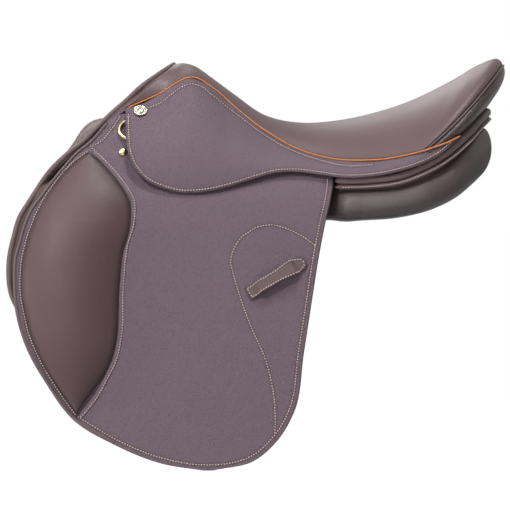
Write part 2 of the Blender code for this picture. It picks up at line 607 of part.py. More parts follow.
def add_billets(side, word):
    """Three straps that hang from the web, a guard that slides on them, and the web itself."""
    for number in range(3):
        x = BILLET_MIDDLE_X + (number - 1) * BILLET_PITCH
        half = BILLET_WIDTH / 2
        zs = np.concatenate([[BILLET_TOP_Z + 12, BILLET_TOP_Z + 7], [BILLET_TOP_Z, 22, 0],
                             [BILLET_LEAN_Z, BILLET_END_Z + 14, BILLET_END_Z]])
        widths = np.array([5, 11, half, half, half, half, half, 5])
        t = np.linspace(-1, 1, 3)
        plan = np.stack([x + widths[:, None] * t[None, :], zs[:, None] + 0 * t[None, :]], axis=-1)
        strap = layer(f"billet_{word}_{number + 1}", plan, lambda x, z: billet_y(z), BILLET_T, side,
                      "strap_leather")
        for hole in range(BILLET_HOLES):
            z = BILLET_LEAN_Z - 8 - hole * BILLET_HOLE_PITCH
            bm = extruded_bm(disc(BILLET_HOLE_R, 6, 0.3), -20, 20, 1)
            place = (x + 0.1, side * (float(flap_y(z)) - BILLET_DEPTH), z)
            cut(strap, f"hole_{word}_{number}_{hole}", bm, place, plane_basis(side, FLAP_SLOPE))
        hinge_at(strap, billet_origin(side))
    plan = ruled([(-112, 81), (-112, 34)], [(0, 81), (0, 34)], 5, 3)
    layer("billet_web_" + word, plan, lambda x, z: flap_y(z) - WEB_DEPTH, WEB_T, side, "canvas")

    axes = plane_basis(side, FLAP_SLOPE)
    middle_z = GUARD_TOP_Z - GUARD_HEIGHT / 2
    cosine = 1 / math.hypot(1, FLAP_SLOPE)
    outer, inner = -(FLAP_T + GUARD_CLEARANCE) * cosine, -(BILLET_DEPTH + BILLET_T + 2.5) * cosine
    bm = box_bm((-56, inner, -GUARD_HEIGHT / 2), (56, outer, GUARD_HEIGHT / 2))
    origin = Vector((BILLET_MIDDLE_X, side * float(flap_y(middle_z)), middle_z))
    guard = placed("buckle_guard_" + word, bm, "strap_leather", origin, axes)
    for number in range(3):
        x = (number - 1) * BILLET_PITCH
        low = (-(BILLET_DEPTH + BILLET_T) - 0.4) * cosine
        high = (-BILLET_DEPTH + 0.4) * cosine
        slot = box_bm((x - BILLET_WIDTH / 2 - 1, low, -40), (x + BILLET_WIDTH / 2 + 1, high, 40))
        cut(guard, f"guard_slot_{word}_{number}", slot, origin, axes)
    hinge_at(guard, billet_origin(side))


def bar_frame(side):
    """Origin and axes of the stirrup bar's back face, on the point plate."""
    slope = float(flap_y(BAR_Z - 5) - flap_y(BAR_Z + 5)) / 10
    axes = plane_basis(side, slope)
    origin = Vector((BAR_X, side * (float(flap_y(BAR_Z)) - POINT_DEPTH), BAR_Z)) + axes[1] * (GAP + 0.2)
    return origin, axes


def catch_axis(side):
    origin, axes = bar_frame(side)
    out = BAR_PLATE_T + BAR_SLOT + BAR_FINGER_T / 2
    return origin + axes[0] * (BAR_LENGTH / 2 - CATCH_LAP / 2) + axes[1] * out


def add_stirrup_bar(side, word):
    """A bar open at its rear end, with a hinged catch lapped on its finger and a pin through both."""
    origin, axes = bar_frame(side)
    half = BAR_LENGTH / 2
    slot_in, slot_out = BAR_PLATE_T, BAR_PLATE_T + BAR_SLOT
    out = slot_out + BAR_FINGER_T
    lap = slot_out + BAR_FINGER_T / 2
    outline = [(-half, 0), (half, 0), (half, slot_in), (-half + 9, slot_in), (-half + 9, slot_out),
               (half, slot_out), (half, lap - 0.2), (half - CATCH_LAP, lap - 0.2), (half - CATCH_LAP, out),
               (-half, out)]
    bm = extruded_bm(outline, -BAR_HEIGHT / 2, BAR_HEIGHT / 2, 2)
    bar = placed("stirrup_bar_" + word, bm, "steel", origin, axes)
    centre = half - CATCH_LAP / 2
    eye = CATCH_LAP / 2 - 0.4
    turns = np.linspace(math.pi / 2, 3 * math.pi / 2, 9)
    plan = [(centre + eye * math.cos(t), eye * math.sin(t)) for t in turns]
    plan += [(half + CATCH_REACH, -eye + 1), (half + CATCH_REACH, eye - 1)]
    catch = placed("bar_catch_" + word, extruded_bm(plan, lap + 0.1, out, 1), "steel", origin, axes)
    bore = [(x + centre, z) for x, z in disc(PIN_R + GAP, 10)]
    cut(bar, "bar_bore_" + word, extruded_bm(bore, slot_out - 1, out + 1, 1), origin, axes)
    cut(catch, "catch_bore_" + word, extruded_bm(bore, slot_out - 1, out + 1, 1), origin, axes)
    hinge_at(catch, catch_axis(side))
    pin = [(x + centre, z) for x, z in disc(PIN_R, 10)]
    placed("catch_pin_" + word, extruded_bm(pin, slot_out, out, 1), "steel", origin, axes)


def dee_frame(side):
    slope = float(flap_y(DEE_Z - 8) - flap_y(DEE_Z + 8)) / 16
    axes = plane_basis(side, slope)
    lift = GAP + 0.3 + DEE_WIRE_R + 1.0
    origin = Vector((DEE_X, side * float(flap_y(DEE_Z)), DEE_Z)) + axes[1] * lift
    return origin, axes


def add_dee(side, word):
    """A bent wire ring with one straight side, held in a bored leather tab."""
    origin, axes = dee_frame(side)
    radius = DEE_OUTER_R - DEE_WIRE_R
    turns = np.linspace(math.pi / 2, 3 * math.pi / 2, 11)
    arc = [(radius * math.cos(t), radius * math.sin(t)) for t in turns]
    straight = [(0, -radius / 2), (0, 0), (0, radius / 2)]
    route = arc + straight
    bm = bmesh.new()
    loops = []
    for i, (x, z) in enumerate(route):
        before, after = route[i - 1], route[(i + 1) % len(route)]
        along = Vector((after[0] - before[0], 0, after[1] - before[1])).normalized()
        out = Vector((0, 1, 0))
        sideways = along.cross(out)
        loops.append([bm.verts.new(Vector((x, 0, z)) + DEE_WIRE_R * (math.cos(a) * sideways
                      + math.sin(a) * out)) for a in np.linspace(0, 2 * math.pi, 8, endpoint=False)])
    for a, b in zip(loops, loops[1:] + loops[:1]):
        for j in range(8):
            k = (j + 1) % 8
            bm.faces.new([a[j], a[k], b[k], b[j]])
    ring = placed("dee_ring_" + word, bm, "brass", origin, axes)
    hinge_at(ring, origin)
    tab = placed("dee_tab_" + word, box_bm((-3.2, -DEE_WIRE_R - 1.2, -6.5), (22, DEE_WIRE_R + 1.2, 6.5)),
                 "strap_leather", origin, axes)
    cut(tab, "dee_bore_" + word, extruded_bm(disc(DEE_WIRE_R + 0.35, 12), -12, 12, 2), origin, axes)


def dome_bm(radius, height, sides=12, rim=1.0):
    """A button with a short upright rim and a domed face, its flat back at outward = 0."""
    bm = bmesh.new()
    rings = [(radius, 0), (radius, rim), (radius * 0.72, rim + (height - rim) * 0.72)]
    loops = [[bm.verts.new((x, h, z)) for x, z in disc(r, sides)] for r, h in rings]
    for a, b in zip(loops, loops[1:]):
        for j in range(sides):
            k = (j + 1) % sides
            bm.faces.new([a[j], a[k], b[k], b[j]])
    bm.faces.new(loops[0])
    top = bm.verts.new((0, height, 0))
    for j in range(sides):
        bm.faces.new([loops[-1][j], loops[-1][(j + 1) % sides], top])
    return bm


def add_buttons(side, word):
    """The head nail on the skirt and the domed stud on the flap."""
    nail_x, nail_z = -180.0, 133.0
    slope = float(skirt_y(nail_x, nail_z - 6) - skirt_y(nail_x, nail_z + 6)) / 12
    axes = plane_basis(side, slope)
    base = Vector((nail_x, side * float(skirt_y(nail_x, nail_z)), nail_z)) + axes[1] * 1.4
    placed("head_nail_" + word, dome_bm(NAIL_R, 3.2, 14), "nickel", base, axes)
    stud_x, stud_z = -201.0, 84.0
    slope = float(flap_y(stud_z - 6) - flap_y(stud_z + 6)) / 12
    axes = plane_basis(side, slope)
    base = Vector((stud_x, side * float(flap_y(stud_z)), stud_z)) + axes[1] * 0.4
    placed("flap_stud_" + word, dome_bm(STUD_R, 3.6, 12), "brass", base, axes)


clear_scene()
foam_bottom = add_seat()
add_seat_trim()
add_cantle()
add_tree(foam_bottom)
add_panels()
add_facing()
add_binding()
for side, word in ((-1, "left"), (1, "right")):
    add_leathers(side, word)
    add_keeper(side, word)
    add_billets(side, word)
    add_stirrup_bar(side, word)
    add_dee(side, word)
    add_buttons(side, word)
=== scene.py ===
"""Looks of a polo saddle: grain leather, calf pads, orange piping, waxed stitching and plated fittings.

Every surface is a function of two parameters on a grid, worked out in millimetres and placed in the frame's
axes: x along the horse with the pommel at -x, y across the saddle, z up. A layer of leather that lies over
the tree is a side-view plan (x, z) with a half-width y(x, z), so layers that touch share one formula.
"""
import math

import bpy
import numpy as np
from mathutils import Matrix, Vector


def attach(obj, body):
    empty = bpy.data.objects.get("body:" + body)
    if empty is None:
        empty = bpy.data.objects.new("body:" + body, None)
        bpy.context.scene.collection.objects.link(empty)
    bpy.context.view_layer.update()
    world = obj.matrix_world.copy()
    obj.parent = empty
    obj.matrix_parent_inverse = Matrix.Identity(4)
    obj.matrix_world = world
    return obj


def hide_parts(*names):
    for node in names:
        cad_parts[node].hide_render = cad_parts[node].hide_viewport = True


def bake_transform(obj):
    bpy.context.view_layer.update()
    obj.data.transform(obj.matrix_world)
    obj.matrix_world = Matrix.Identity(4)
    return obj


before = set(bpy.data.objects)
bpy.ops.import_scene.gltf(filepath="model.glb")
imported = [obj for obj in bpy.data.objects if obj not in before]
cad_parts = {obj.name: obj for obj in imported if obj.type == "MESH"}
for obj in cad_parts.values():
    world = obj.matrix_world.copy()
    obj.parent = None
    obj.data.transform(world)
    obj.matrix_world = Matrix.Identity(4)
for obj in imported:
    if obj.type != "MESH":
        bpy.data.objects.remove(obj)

bl_info = {
    "name": "Polo saddle",
    "version": (1, 0, 0),
    "blender": (4, 5, 0),
    "location": "View3D > Sidebar > Saddle",
    "description": "Leather, stitching and fittings of a polo saddle round its tree",
    "category": "Object",
}

# Lengths are in millimetres unless said otherwise; GAP lies between a piece and what it rests on
MM = 0.001
GAP = 0.3
STITCH_STEP = 2.0
STITCH_LEAN = math.radians(9)
SIDES = ((-1, "left"), (1, "right"))
WHITE = (1.0, 1.0, 1.0, 1.0)

# Thicknesses of the leather layers and their depth under the flap's outer face, across the saddle
FLAP_T = 4.5
SKIRT_T = 4.0
SWEAT_T = 4.0
COVER_T = 3.0
PAD_COVER_T = 1.3
BILLET_T = 4.0
BILLET_DEPTH = 8.0
WEB_DEPTH = 13.0
WEB_T = 2.2
SWEAT_DEPTH = 15.5

# Half-width of the flap's outer face against height, and its value and slope below z = 0
FLAP_BEND = [(0, 143), (30, 132.5), (60, 115.5), (90, 98.5), (120, 82), (142, 68), (165, 53), (191, 30)]
FLAP_FLAT_Y = 143.0
FLAP_SLOPE = 0.25

# Outlines seen from the side, (x, z)
FLAP_FRONT = [(-205, 135), (-221, 121), (-241, 98), (-258, 84), (-274, 66), (-288, 48.6), (-301, 31),
              (-310, 19), (-319, 0), (-326.5, -26), (-331, -43), (-332, -65), (-329, -108), (-316, -151),
              (-293, -192), (-258, -238), (-211, -266), (-153, -289), (-104, -297)]
FLAP_REAR = [(-172, 122), (-174, 105), (-174, 88), (-158, 72), (-120, 66), (-30, 60), (52, 52), (49.5, 30),
             (43, 1), (35, -40), (27, -90), (16.6, -157), (5, -227), (-14, -260), (-42, -285), (-92, -297)]
FLAP_LOOP = [(31, -29), (16, -18), (5, -12), (-10, -6), (-22, -3.6), (-34, -5), (-40, -6.6), (-49, -12),
             (-58, -18), (-65, -28), (-69, -37), (-71, -47), (-69, -59), (-66, -70), (-62, -83), (-56, -101),
             (-52, -112), (-43, -134), (-32, -158), (-24, -184), (-19.6, -208), (-18, -225), (-18, -245),
             (-18.6, -257)]
FLAP_TIP_LINE = [(-241.2, 90), (-226.8, 97.5), (-215.3, 111), (-204, 127.8)]
PAD_FRONT = [(-243.6, 85.2), (-260.4, 73.2), (-273.6, 60), (-285.6, 44.4), (-297.6, 26.4), (-307.2, 7.2),
             (-314.9, -12.7), (-320.4, -32.4), (-322.8, -43.2), (-324.6, -63), (-324, -90), (-319.7, -111.6),
             (-313.8, -135.6), (-306, -154.8), (-295.2, -176.4), (-283.2, -195.6), (-270, -214.8),
             (-256.8, -232.8)]
PAD_REAR = [(-242, 84), (-226.8, 71.3), (-211.2, 54), (-199.7, 38.4), (-192, 22.8), (-190.8, 3),
            (-193.8, -16.8), (-199.7, -36), (-201.6, -49.2), (-204.6, -78.6), (-205.9, -108),
            (-206.4, -127.2), (-211.2, -156.7), (-220.8, -180), (-235.2, -201.6), (-248.4, -219.1),
            (-255, -230)]
PAD_SEAM = [(-239, 89), (-223.2, 74.4), (-207.6, 57.6), (-193.8, 39), (-187.2, 26.4), (-186, 13.2),
            (-188.4, -7.2), (-194.4, -26.4), (-196.8, -40.8), (-199.2, -68.4), (-200.4, -98.4),
            (-200.4, -121.2), (-202.8, -142.8), (-208.8, -168), (-219.6, -189.6), (-230.4, -209.4),
            (-242.4, -225), (-251, -235)]
PAD_FLANGE = 3.4
PAD_CROWN = [(86, 1.5), (60, 6), (30, 11), (0, 17), (-60, 22), (-150, 21), (-200, 12), (-225, 4), (-234, 1.5)]
SWEAT_FRONT = [(-283, 66), (-303, 40), (-316, 20), (-325.5, 2), (-332.5, -26), (-335.5, -43), (-336, -65),
               (-330, -92), (-320, -118), (-301, -160), (-265, -205), (-215, -245), (-150, -268),
               (-100, -274)]
SWEAT_REAR = [(24, 60), (26, 30), (24, 0), (18, -45), (10, -95), (0, -155), (-14, -215), (-50, -260),
              (-88, -274)]
BINDING = [(-326, -110), (-336, -90), (-340.2, -64.8), (-339.6, -43.2), (-336, -26.4), (-328.8, 3),
           (-319.2, 20.4), (-309, 36), (-297.6, 54), (-283.2, 71.3), (-264, 88.8), (-246, 103),
           (-223.2, 127.8), (-206.4, 141.6), (-188.4, 159.6), (-165, 177.8), (-142.6, 193)]
SKIRT_EDGE = [(-198, 134), (-197.5, 110), (-194, 81), (-186, 64), (-173, 50), (-152, 40), (-133, 35),
              (-114, 34.8), (-95, 37), (-74, 42), (-42, 52), (-19, 58.6), (7, 60), (36, 56.6), (65, 52.8),
              (95, 54), (133, 61), (163, 71.3), (182, 82), (198, 96), (206, 104)]
SKIRT_LINE = [(-172, 136.8), (-157, 142.8), (-143, 153.6), (-131.4, 162), (-120, 166.4), (-108, 163.9),
              (-95, 154.2), (-74.4, 137.6), (-59, 126), (-42, 112.8), (-3, 88.8), (36, 74.4), (67, 67.7),
              (99.6, 68.4)]

# The seat by its share from pommel to cantle: middle line (x, z), edge (x, y, z), bend in degrees, sag in mm
SEAT_MIDDLE = [(0, -137.5, 192), (.08, -127, 192.6), (.16, -113, 188.2), (.24, -94, 175), (.34, -65, 153.6),
               (.44, -30, 130), (.54, 12, 120.9), (.64, 58, 123.6), (.74, 108, 134.4), (.82, 150, 149),
               (.9, 200, 174), (.95, 230, 191.4), (.98, 251, 198.2), (1, 258.8, 192)]
SEAT_EDGE = [(0, -196, 76, 139), (.08, -160, 64, 155), (.16, -121, 50.6, 176.2), (.24, -93.5, 50.4, 164),
             (.34, -62, 57, 136.5), (.44, -28, 71, 110.5), (.54, 12, 88, 88.5), (.64, 58, 107, 76.8),
             (.74, 108, 126, 76.4), (.82, 134, 133, 80.5), (.9, 152, 137.5, 84.5), (1, 162, 139, 88)]
SEAT_BEND = [(0, 68), (.2, 55), (.5, 48), (.75, 58), (1, 84)]
RIM_SAG = [(0, 0), (.7, 0), (.85, 2), (1, 7)]
SEAT_LIP_R = 3.0
CANTLE_BULGE = 6.5
CANTLE_WELT_R = 1.4
WEBBING_DROP = 22.6
PIPING_TAIL = [(159, 139.4, 86.6), (174, 139.9, 91.4), (190, 135, 97.4), (205, 126, 104.8)]

# The skirt's half-width: its top by x (y, z), then its foot's height and half-width by x
SKIRT_TOP = [(-198, 78, 139), (-178, 71, 144.5), (-160, 64.5, 154.5), (-142, 57.5, 165.8),
             (-121, 51.4, 175.6), (-96.5, 50.8, 165.9), (-75, 53.5, 148), (-58, 59, 133.7), (-42, 65, 120),
             (-3, 83, 94.8), (36, 99, 80), (66, 111, 75.5), (95, 122, 74.5), (126, 132, 78), (154, 138, 84.5),
             (180, 138, 93), (206, 125, 105.8)]
SKIRT_FOOT = [(-198, 32), (-80, 32), (-42, 44), (0, 52), (36, 51), (95, 50), (133, 56), (163, 66), (182, 77),
              (206, 96)]
SKIRT_FOOT_Y = [(-198, 133.4), (-80, 133.4), (-42, 128.8), (0, 125.5), (36, 127), (60, 131), (95, 136),
                (133, 143), (163, 144), (182, 141), (206, 128)]

# Half-sizes of rolls, across and off the surface, and how far stitching runs inside its edge
BEAD = (1.9, 1.7)
PAD_WELT = (3.4, 1.5)
FACING_ROLL = (4.8, 5.0)
FACING_WELT = (4.4, 2.7)
FLAP_STITCH_INSET = 6.6
SKIRT_STITCH_INSET = 3.6
SWEAT_STITCH_INSET = 2.6

# The pommel's arch: its place, half-width, foot and rise
ARCH_X, ARCH_HALF, ARCH_Z, ARCH_RISE = -178, 60, 96, 44

# Panel sections: x, then y and z of outer top, outer foot, inner foot and inner top
PANEL = [(-271, 86, 88, 92, 66, 80, 74, 76, 88), (-263, 84, 94, 94, 64, 80, 72, 72, 94),
         (-250, 76, 114, 99, 40, 78, 44, 56, 112), (-228, 66, 127, 121, -6, 90, -6, 44, 124),
         (-190, 68, 107, 129.7, -32, 98, -30, 38, 102), (-140, 74, 92, 130.5, -30, 78, -10, 34, 84),
         (-80, 84, 74, 129.1, -16, 32, 36, 32, 74), (-20, 90, 62, 125, -10, 32, 28, 32, 64),
         (30, 96, 51, 121, -6.6, 32, 24, 32, 60), (52, 108, 44, 128, -5.6, 32, 24, 32, 60),
         (64, 119, 46, 136, -7.5, 32, 23, 32, 60), (90, 124, 47, 139, -6.0, 32, 24, 32, 60),
         (132, 130, 51, 143, -3.0, 32, 28, 32, 64), (172, 131, 67, 141, 6.5, 32, 38, 32, 78),
         (204, 119, 86, 127, 24.5, 33, 50, 33, 94), (222, 97, 104, 104, 41.0, 34, 62, 34, 106),
         (235, 70, 116, 84, 54, 38, 70, 38, 114), (241, 62, 117, 74, 58, 42, 69, 42, 115)]
# Where each end of a panel starts to draw in and over what length, and the power that squares a section
PANEL_FRONT, PANEL_REAR = (-258, 13), (230, 13.5)
PANEL_SQUARE = 0.74

# The rear facing's line, (x, y, z)
FACING = [(54, 121, 45), (95, 126.5, 46), (133, 133, 51), (172, 133, 67.5), (192, 126, 81), (211, 111.5, 98),
          (226, 86, 115), (235.5, 50, 125), (239, 0, 128.5)]

# Straps and fittings
BILLET_WIDTH = 27.0
BILLET_PITCH = 36.0
BILLET_X = -56.0
BILLET_TOP_Z = 56.0
BILLET_LEAN_Z = -112.0
BILLET_LEAN = 0.012
BILLET_END_Z = -240.0
BILLET_TIP = 15.0
BILLET_HOLES = 6
BILLET_HOLE_PITCH = 18.0
BILLET_HOLE_R = 2.5
GUARD_TOP_Z = -20.0
GUARD_HEIGHT = 60.0
GUARD_HALF = 56.0
WEB_ENDS = [(-112, 81), (-112, 34)], [(0, 81), (0, 34)]
LINING_HALF = 41.0
DEE_TAB_HALF = 6.5
DEE_TAB_SPAN = (-3.4, 22)
KEEPER_X, KEEPER_Z = -17.0, -67.5
KEEPER_START, KEEPER_END = -39.0, 41.0
KEEPER_HALF = 8.4
KEEPER_T = 2.6
KEEPER_RISE = 6.0
KEEPER_TURN = math.radians(31)
NAIL_X, NAIL_Z = -180.0, 133.0
STUD_X, STUD_Z = -201.0, 84.0
DEE_X, DEE_Z = -192.6, 109.4
DEE_WIRE_R = 2.0
DEE_R = 11.4

# Turned profiles, (radius, height)
NAIL_PROFILE = [(6.0, -1.0), (7.6, 0.0), (8.1, 0.5), (8.3, 1.1), (8.0, 1.8), (7.3, 2.1), (6.7, 1.8),
                (6.3, 0.9), (5.8, 0.8), (5.4, 1.3), (4.6, 2.1), (3.2, 2.7), (1.6, 3.0), (0.3, 3.1)]
STUD_PROFILE = [(4.6, -0.8), (5.1, 0.0), (5.3, 0.6), (5.2, 1.2), (4.8, 2.0), (4.0, 2.8), (2.8, 3.35),
                (1.4, 3.58), (0.3, 3.62)]

# The studio, in metres: each lamp's name, size, watts, place and the point it faces, then the camera's view
LAMPS = [("key", 0.7, 41.0, (-1.5, -1.9, 2.1), (-0.05, 0, 0)),
         ("top", 0.6, 37.0, (0.15, -0.7, 2.7), (0.05, 0, 0)),
         ("edge", 0.5, 16.0, (-3.0, -0.7, 0.6), (-0.2, 0, 0)),
         ("rear", 1.8, 17.0, (-0.9, 2.6, 1.6), (0, 0, 0))]
CAMERA_DISTANCE = 15.0
VIEW_WIDTH = 0.612
VIEW_MIDDLE = (-0.042, -0.14, -0.0396)


# ---- Curves and surfaces ----

def curve(knots, at):
    """A smooth value at each place through (place, value) knots: cubic Hermite pieces, averaged slopes."""
    knots = np.asarray(knots, float)
    xs, ys = knots[np.argsort(knots[:, 0])].T
    slopes = np.gradient(ys, xs)
    at = np.clip(np.asarray(at, float), xs[0], xs[-1])
    i = np.clip(np.searchsorted(xs, at, side="right") - 1, 0, len(xs) - 2)
    width = xs[i + 1] - xs[i]
    t = (at - xs[i]) / width
    return ((1 + 2 * t) * (1 - t) ** 2 * ys[i] + t * (1 - t) ** 2 * width * slopes[i]
            + t * t * (3 - 2 * t) * ys[i + 1] + t * t * (t - 1) * width * slopes[i + 1])


def lengths(points):
    """Length along a line up to each of its points."""
    return np.concatenate([[0], np.cumsum(np.linalg.norm(np.diff(points, axis=0), axis=1))])


def path(points, places):
    """Points along a smooth curve through the given ones: places is a count, or shares of its length."""
    points = np.array(points, float)
    along = lengths(points)
    shares = np.linspace(0, 1, places) if np.isscalar(places) else np.asarray(places)
    return np.stack([curve(np.stack([along, column], axis=1), shares * along[-1]) for column in points.T],
                    axis=1)


def even(points, spacing):
    """The smooth curve through points, resampled by its own length every spacing."""
    fine = path(points, 400)
    along = lengths(fine)
    places = np.linspace(0, along[-1], max(2, int(along[-1] / spacing) + 1))
    return np.stack([np.interp(places, along, column) for column in fine.T], axis=1)


def unit(vectors):
    """The same vectors at a length of 1."""
    return vectors / np.linalg.norm(vectors, axis=-1, keepdims=True)


def mirrored(points):
    """The same (x, y, z) points on the other side of the saddle."""
    return [(x, -y, z) for x, y, z in points]


def inset(line, distance):
    """A side-view line moved square to itself: to the right of its direction for a positive distance."""
    tangent = unit(np.gradient(line, axis=0))
    return line + distance * np.stack([tangent[:, 1], -tangent[:, 0]], axis=1)


def flap_y(x, z):
    """Half-width of the flap's outer face: a bend over the tree above z = 0, a flat leaning sheet below."""
    z = np.asarray(z, float)
    return np.where(z > 0, curve(FLAP_BEND, z), FLAP_FLAT_Y - FLAP_SLOPE * z)


def skirt_y(x, z):
    """Half-width of the skirt: top + (foot - top)(1 - (1 - q)^2), with q the share of the way down at x."""
    top_y = curve([(k[0], k[1]) for k in SKIRT_TOP], x)
    top_z = curve([(k[0], k[2]) for k in SKIRT_TOP], x)
    foot_z = curve(SKIRT_FOOT, x)
    foot_y = curve(SKIRT_FOOT_Y, x)
    q = np.clip((top_z - z) / (top_z - foot_z), 0, 1)
    return top_y + (foot_y - top_y) * (1 - (1 - q) ** 2)


def billet_y(x, z):
    """Half-width of a billet's outer face, under the flap's and leaning in from BILLET_LEAN_Z down."""
    return flap_y(x, z) - BILLET_DEPTH - BILLET_LEAN * np.maximum(0, BILLET_LEAN_Z - z)


def sweat_y(x, z):
    """Half-width of the sweat flap's outer face, at its depth under the flap's."""
    return flap_y(x, z) - SWEAT_DEPTH


def web_y(x, z):
    """Half-width of the billet web's outer face, at its depth under the flap's."""
    return flap_y(x, z) - WEB_DEPTH


def seat_points(us, ts):
    """The seat's top face: each u is a bow from the middle line to both edges.

    With bend angle B(u), the share of the way to the edge is w = (1 - cos(tB)) / (1 - cos B) along x and z,
    and sin(tB) / sin B across. Towards the cantle each bow also sags by 4w(1 - w) of a few millimetres.
    """
    u = np.asarray(us, float)[:, None]
    t = np.asarray(ts, float)[None, :]
    bend = np.radians(curve(SEAT_BEND, u))
    w = (1 - np.cos(np.abs(t) * bend)) / (1 - np.cos(bend))
    side = np.sin(t * bend) / np.sin(bend)
    middle = [curve([(k[0], k[i]) for k in SEAT_MIDDLE], u) for i in (1, 2)]
    edge = [curve([(k[0], k[i]) for k in SEAT_EDGE], u) for i in (1, 2, 3)]
    x = middle[0] + (edge[0] - middle[0]) * w
    y = edge[1] * side
    z = middle[1] + (edge[2] - middle[1]) * w - curve(RIM_SAG, u) * 4 * w * (1 - w)
    return np.stack(np.broadcast_arrays(x, y, z), axis=-1)


def grid_normals(grid):
    """Unit normals of a grid of points: the cross product of its two directions."""
    normal = np.cross(np.gradient(grid, axis=0), np.gradient(grid, axis=1))
    return normal / np.maximum(np.linalg.norm(normal, axis=-1, keepdims=True), 1e-9)


def normals_on(outer, side, x, z):
    """Outward unit normals of the surface y = side * outer(x, z), from its slopes in x and z."""
    step = 0.5
    slope_x = (outer(x + step, z) - outer(x - step, z)) / (2 * step)
    slope_z = (outer(x, z + step) - outer(x, z - step)) / (2 * step)
    return unit(np.stack([-slope_x, side + 0 * slope_x, -slope_z], axis=-1))


def on_surface(outer, side, line, lift=0.0):
    """A side-view line laid on y = side * outer(x, z) and lifted off it: (points, normals)."""
    x, z = line[:, 0], line[:, 1]
    normal = normals_on(outer, side, x, z)
    return np.stack([x, side * outer(x, z), z], axis=1) + lift * normal, normal


def point_on(outer, side, x, z):
    """The point of y = side * outer(x, z) at one place."""
    return np.array([x, side * float(outer(x, z)), z])


def close_to(plan, line):
    """Shortest side-view distance from each plan point to a line of straight pieces."""
    points = plan.reshape(-1, 1, 2)
    start, step = line[None, :-1], np.diff(line, axis=0)[None]
    share = ((points - start) * step).sum(-1) / np.maximum((step ** 2).sum(-1), 1e-9)
    nearest = start + np.clip(share, 0, 1)[..., None] * step
    return np.linalg.norm(points - nearest, axis=-1).min(axis=1).reshape(plan.shape[:-1])


def crowded(count, length, rim=(0.15, 0.5, 1.0, 1.6, 2.4)):
    """Shares from 0 to 1 of a length, even in the middle, with extra ones at both ends for a rounded edge."""
    near = np.array(rim) / length
    middle = np.linspace(near[-1] * 2, 1 - near[-1] * 2, count)
    return np.concatenate([[0], near, middle, 1 - near[::-1], [1]])


def rim_distance(grid):
    """For each point of a grid, the length along the grid's own lines to its nearest border."""
    found = []
    for axis in (0, 1):
        steps = np.linalg.norm(np.diff(grid, axis=axis), axis=-1)
        zero = np.zeros_like(np.take(steps, [0], axis=axis))
        ahead = np.concatenate([zero, np.cumsum(steps, axis=axis)], axis=axis)
        found += [ahead, np.take(ahead, [-1], axis=axis) - ahead]
    return np.minimum.reduce(found)


def edge_roll(distance, radius):
    """Drop of a half-round edge at a distance from its border: r - sqrt(r^2 - (r - d)^2), and 0 beyond r."""
    return radius * (1 - np.sqrt(1 - np.clip(1 - distance / radius, 0, 1) ** 2))


def fade(distance, width, height):
    """A mark of that height that dies away as height * exp(-(distance / width)^2)."""
    return height * np.exp(-(distance / width) ** 2)


# ---- Meshes ----

def grid_faces(rows, columns, wrap=False):
    """Four-cornered faces of a grid of points; wrap joins the last column to the first."""
    ids = np.arange(rows * columns).reshape(rows, columns)
    across = np.roll(ids, -1, axis=1) if wrap else ids[:, 1:]
    here = ids if wrap else ids[:, :-1]
    return np.stack([here[:-1], here[1:], across[1:], across[:-1]], axis=-1).reshape(-1, 4)


def put_mesh(name, points, groups, look, seam=None):
    """An object from points in millimetres and groups of faces that face out, with an optional seam mark.

    The shape is turned round if the sum of the volumes under its faces is negative.
    """
    points = np.asarray(points, float)
    volume = 0.0
    for faces in groups:
        corner = points[faces]
        for k in range(1, faces.shape[1] - 1):
            volume += np.einsum("ij,ij->", corner[:, 0], np.cross(corner[:, k], corner[:, k + 1]))
    groups = [faces[:, ::-1] for faces in groups] if volume < 0 else groups
    totals = np.concatenate([np.full(len(faces), faces.shape[1]) for faces in groups])
    mesh = bpy.data.meshes.new(name)
    mesh.vertices.add(len(points))
    mesh.vertices.foreach_set("co", (points * MM).astype(np.float32).ravel())
    mesh.loops.add(int(totals.sum()))
    corners = np.concatenate([faces.ravel() for faces in groups])
    mesh.loops.foreach_set("vertex_index", corners.astype(np.int32))
    mesh.polygons.add(len(totals))
    mesh.polygons.foreach_set("loop_start", np.concatenate([[0], np.cumsum(totals)[:-1]]).astype(np.int32))
    mesh.update(calc_edges=True)
    mesh.validate()
    mesh.shade_smooth()
    if seam is not None:
        mark = mesh.attributes.new("seam", "FLOAT", "POINT")
        mark.data.foreach_set("value", np.asarray(seam, np.float32).ravel())
    mesh.materials.append(finish(look))
    obj = bpy.data.objects.new(name, mesh)
    bpy.context.scene.collection.objects.link(obj)
    return obj


def put_sheet(name, front, back, look, seam=None):
    """A closed sheet between two grids of one shape, joined round their borders."""
    rows, columns = front.shape[:2]
    count = rows * columns
    ids = np.arange(count).reshape(rows, columns)
    rim = np.concatenate([ids[0, :-1], ids[:-1, -1], ids[-1, :0:-1], ids[:0:-1, 0]])
    after = np.roll(rim, -1)
    faces = grid_faces(rows, columns)
    border = np.stack([rim, after, after + count, rim + count], axis=1)
    points = np.concatenate([front.reshape(-1, 3), back.reshape(-1, 3)])
    marks = None if seam is None else np.concatenate([seam.ravel(), seam.ravel()])
    return put_mesh(name, points, [np.concatenate([faces, faces[:, ::-1] + count, border])], look, marks)


def put_rings(name, rings, look, closed=False, seam=None):
    """A body through rings of points, (ring, place on it, 3), with flat ends or joined end to end."""
    count, sides = rings.shape[:2]
    points = rings.reshape(-1, 3)
    groups = [grid_faces(count, sides, wrap=True)]
    if closed:
        first, last = np.arange(sides), np.arange(sides) + (count - 1) * sides
        seal = np.stack([last, first, np.roll(first, -1), np.roll(last, -1)], axis=1)
        groups = [np.concatenate([groups[0], seal])]
    else:
        groups += [np.arange(sides)[None], (np.arange(sides) + (count - 1) * sides)[None, ::-1]]
    return put_mesh(name, points, groups, look, seam)


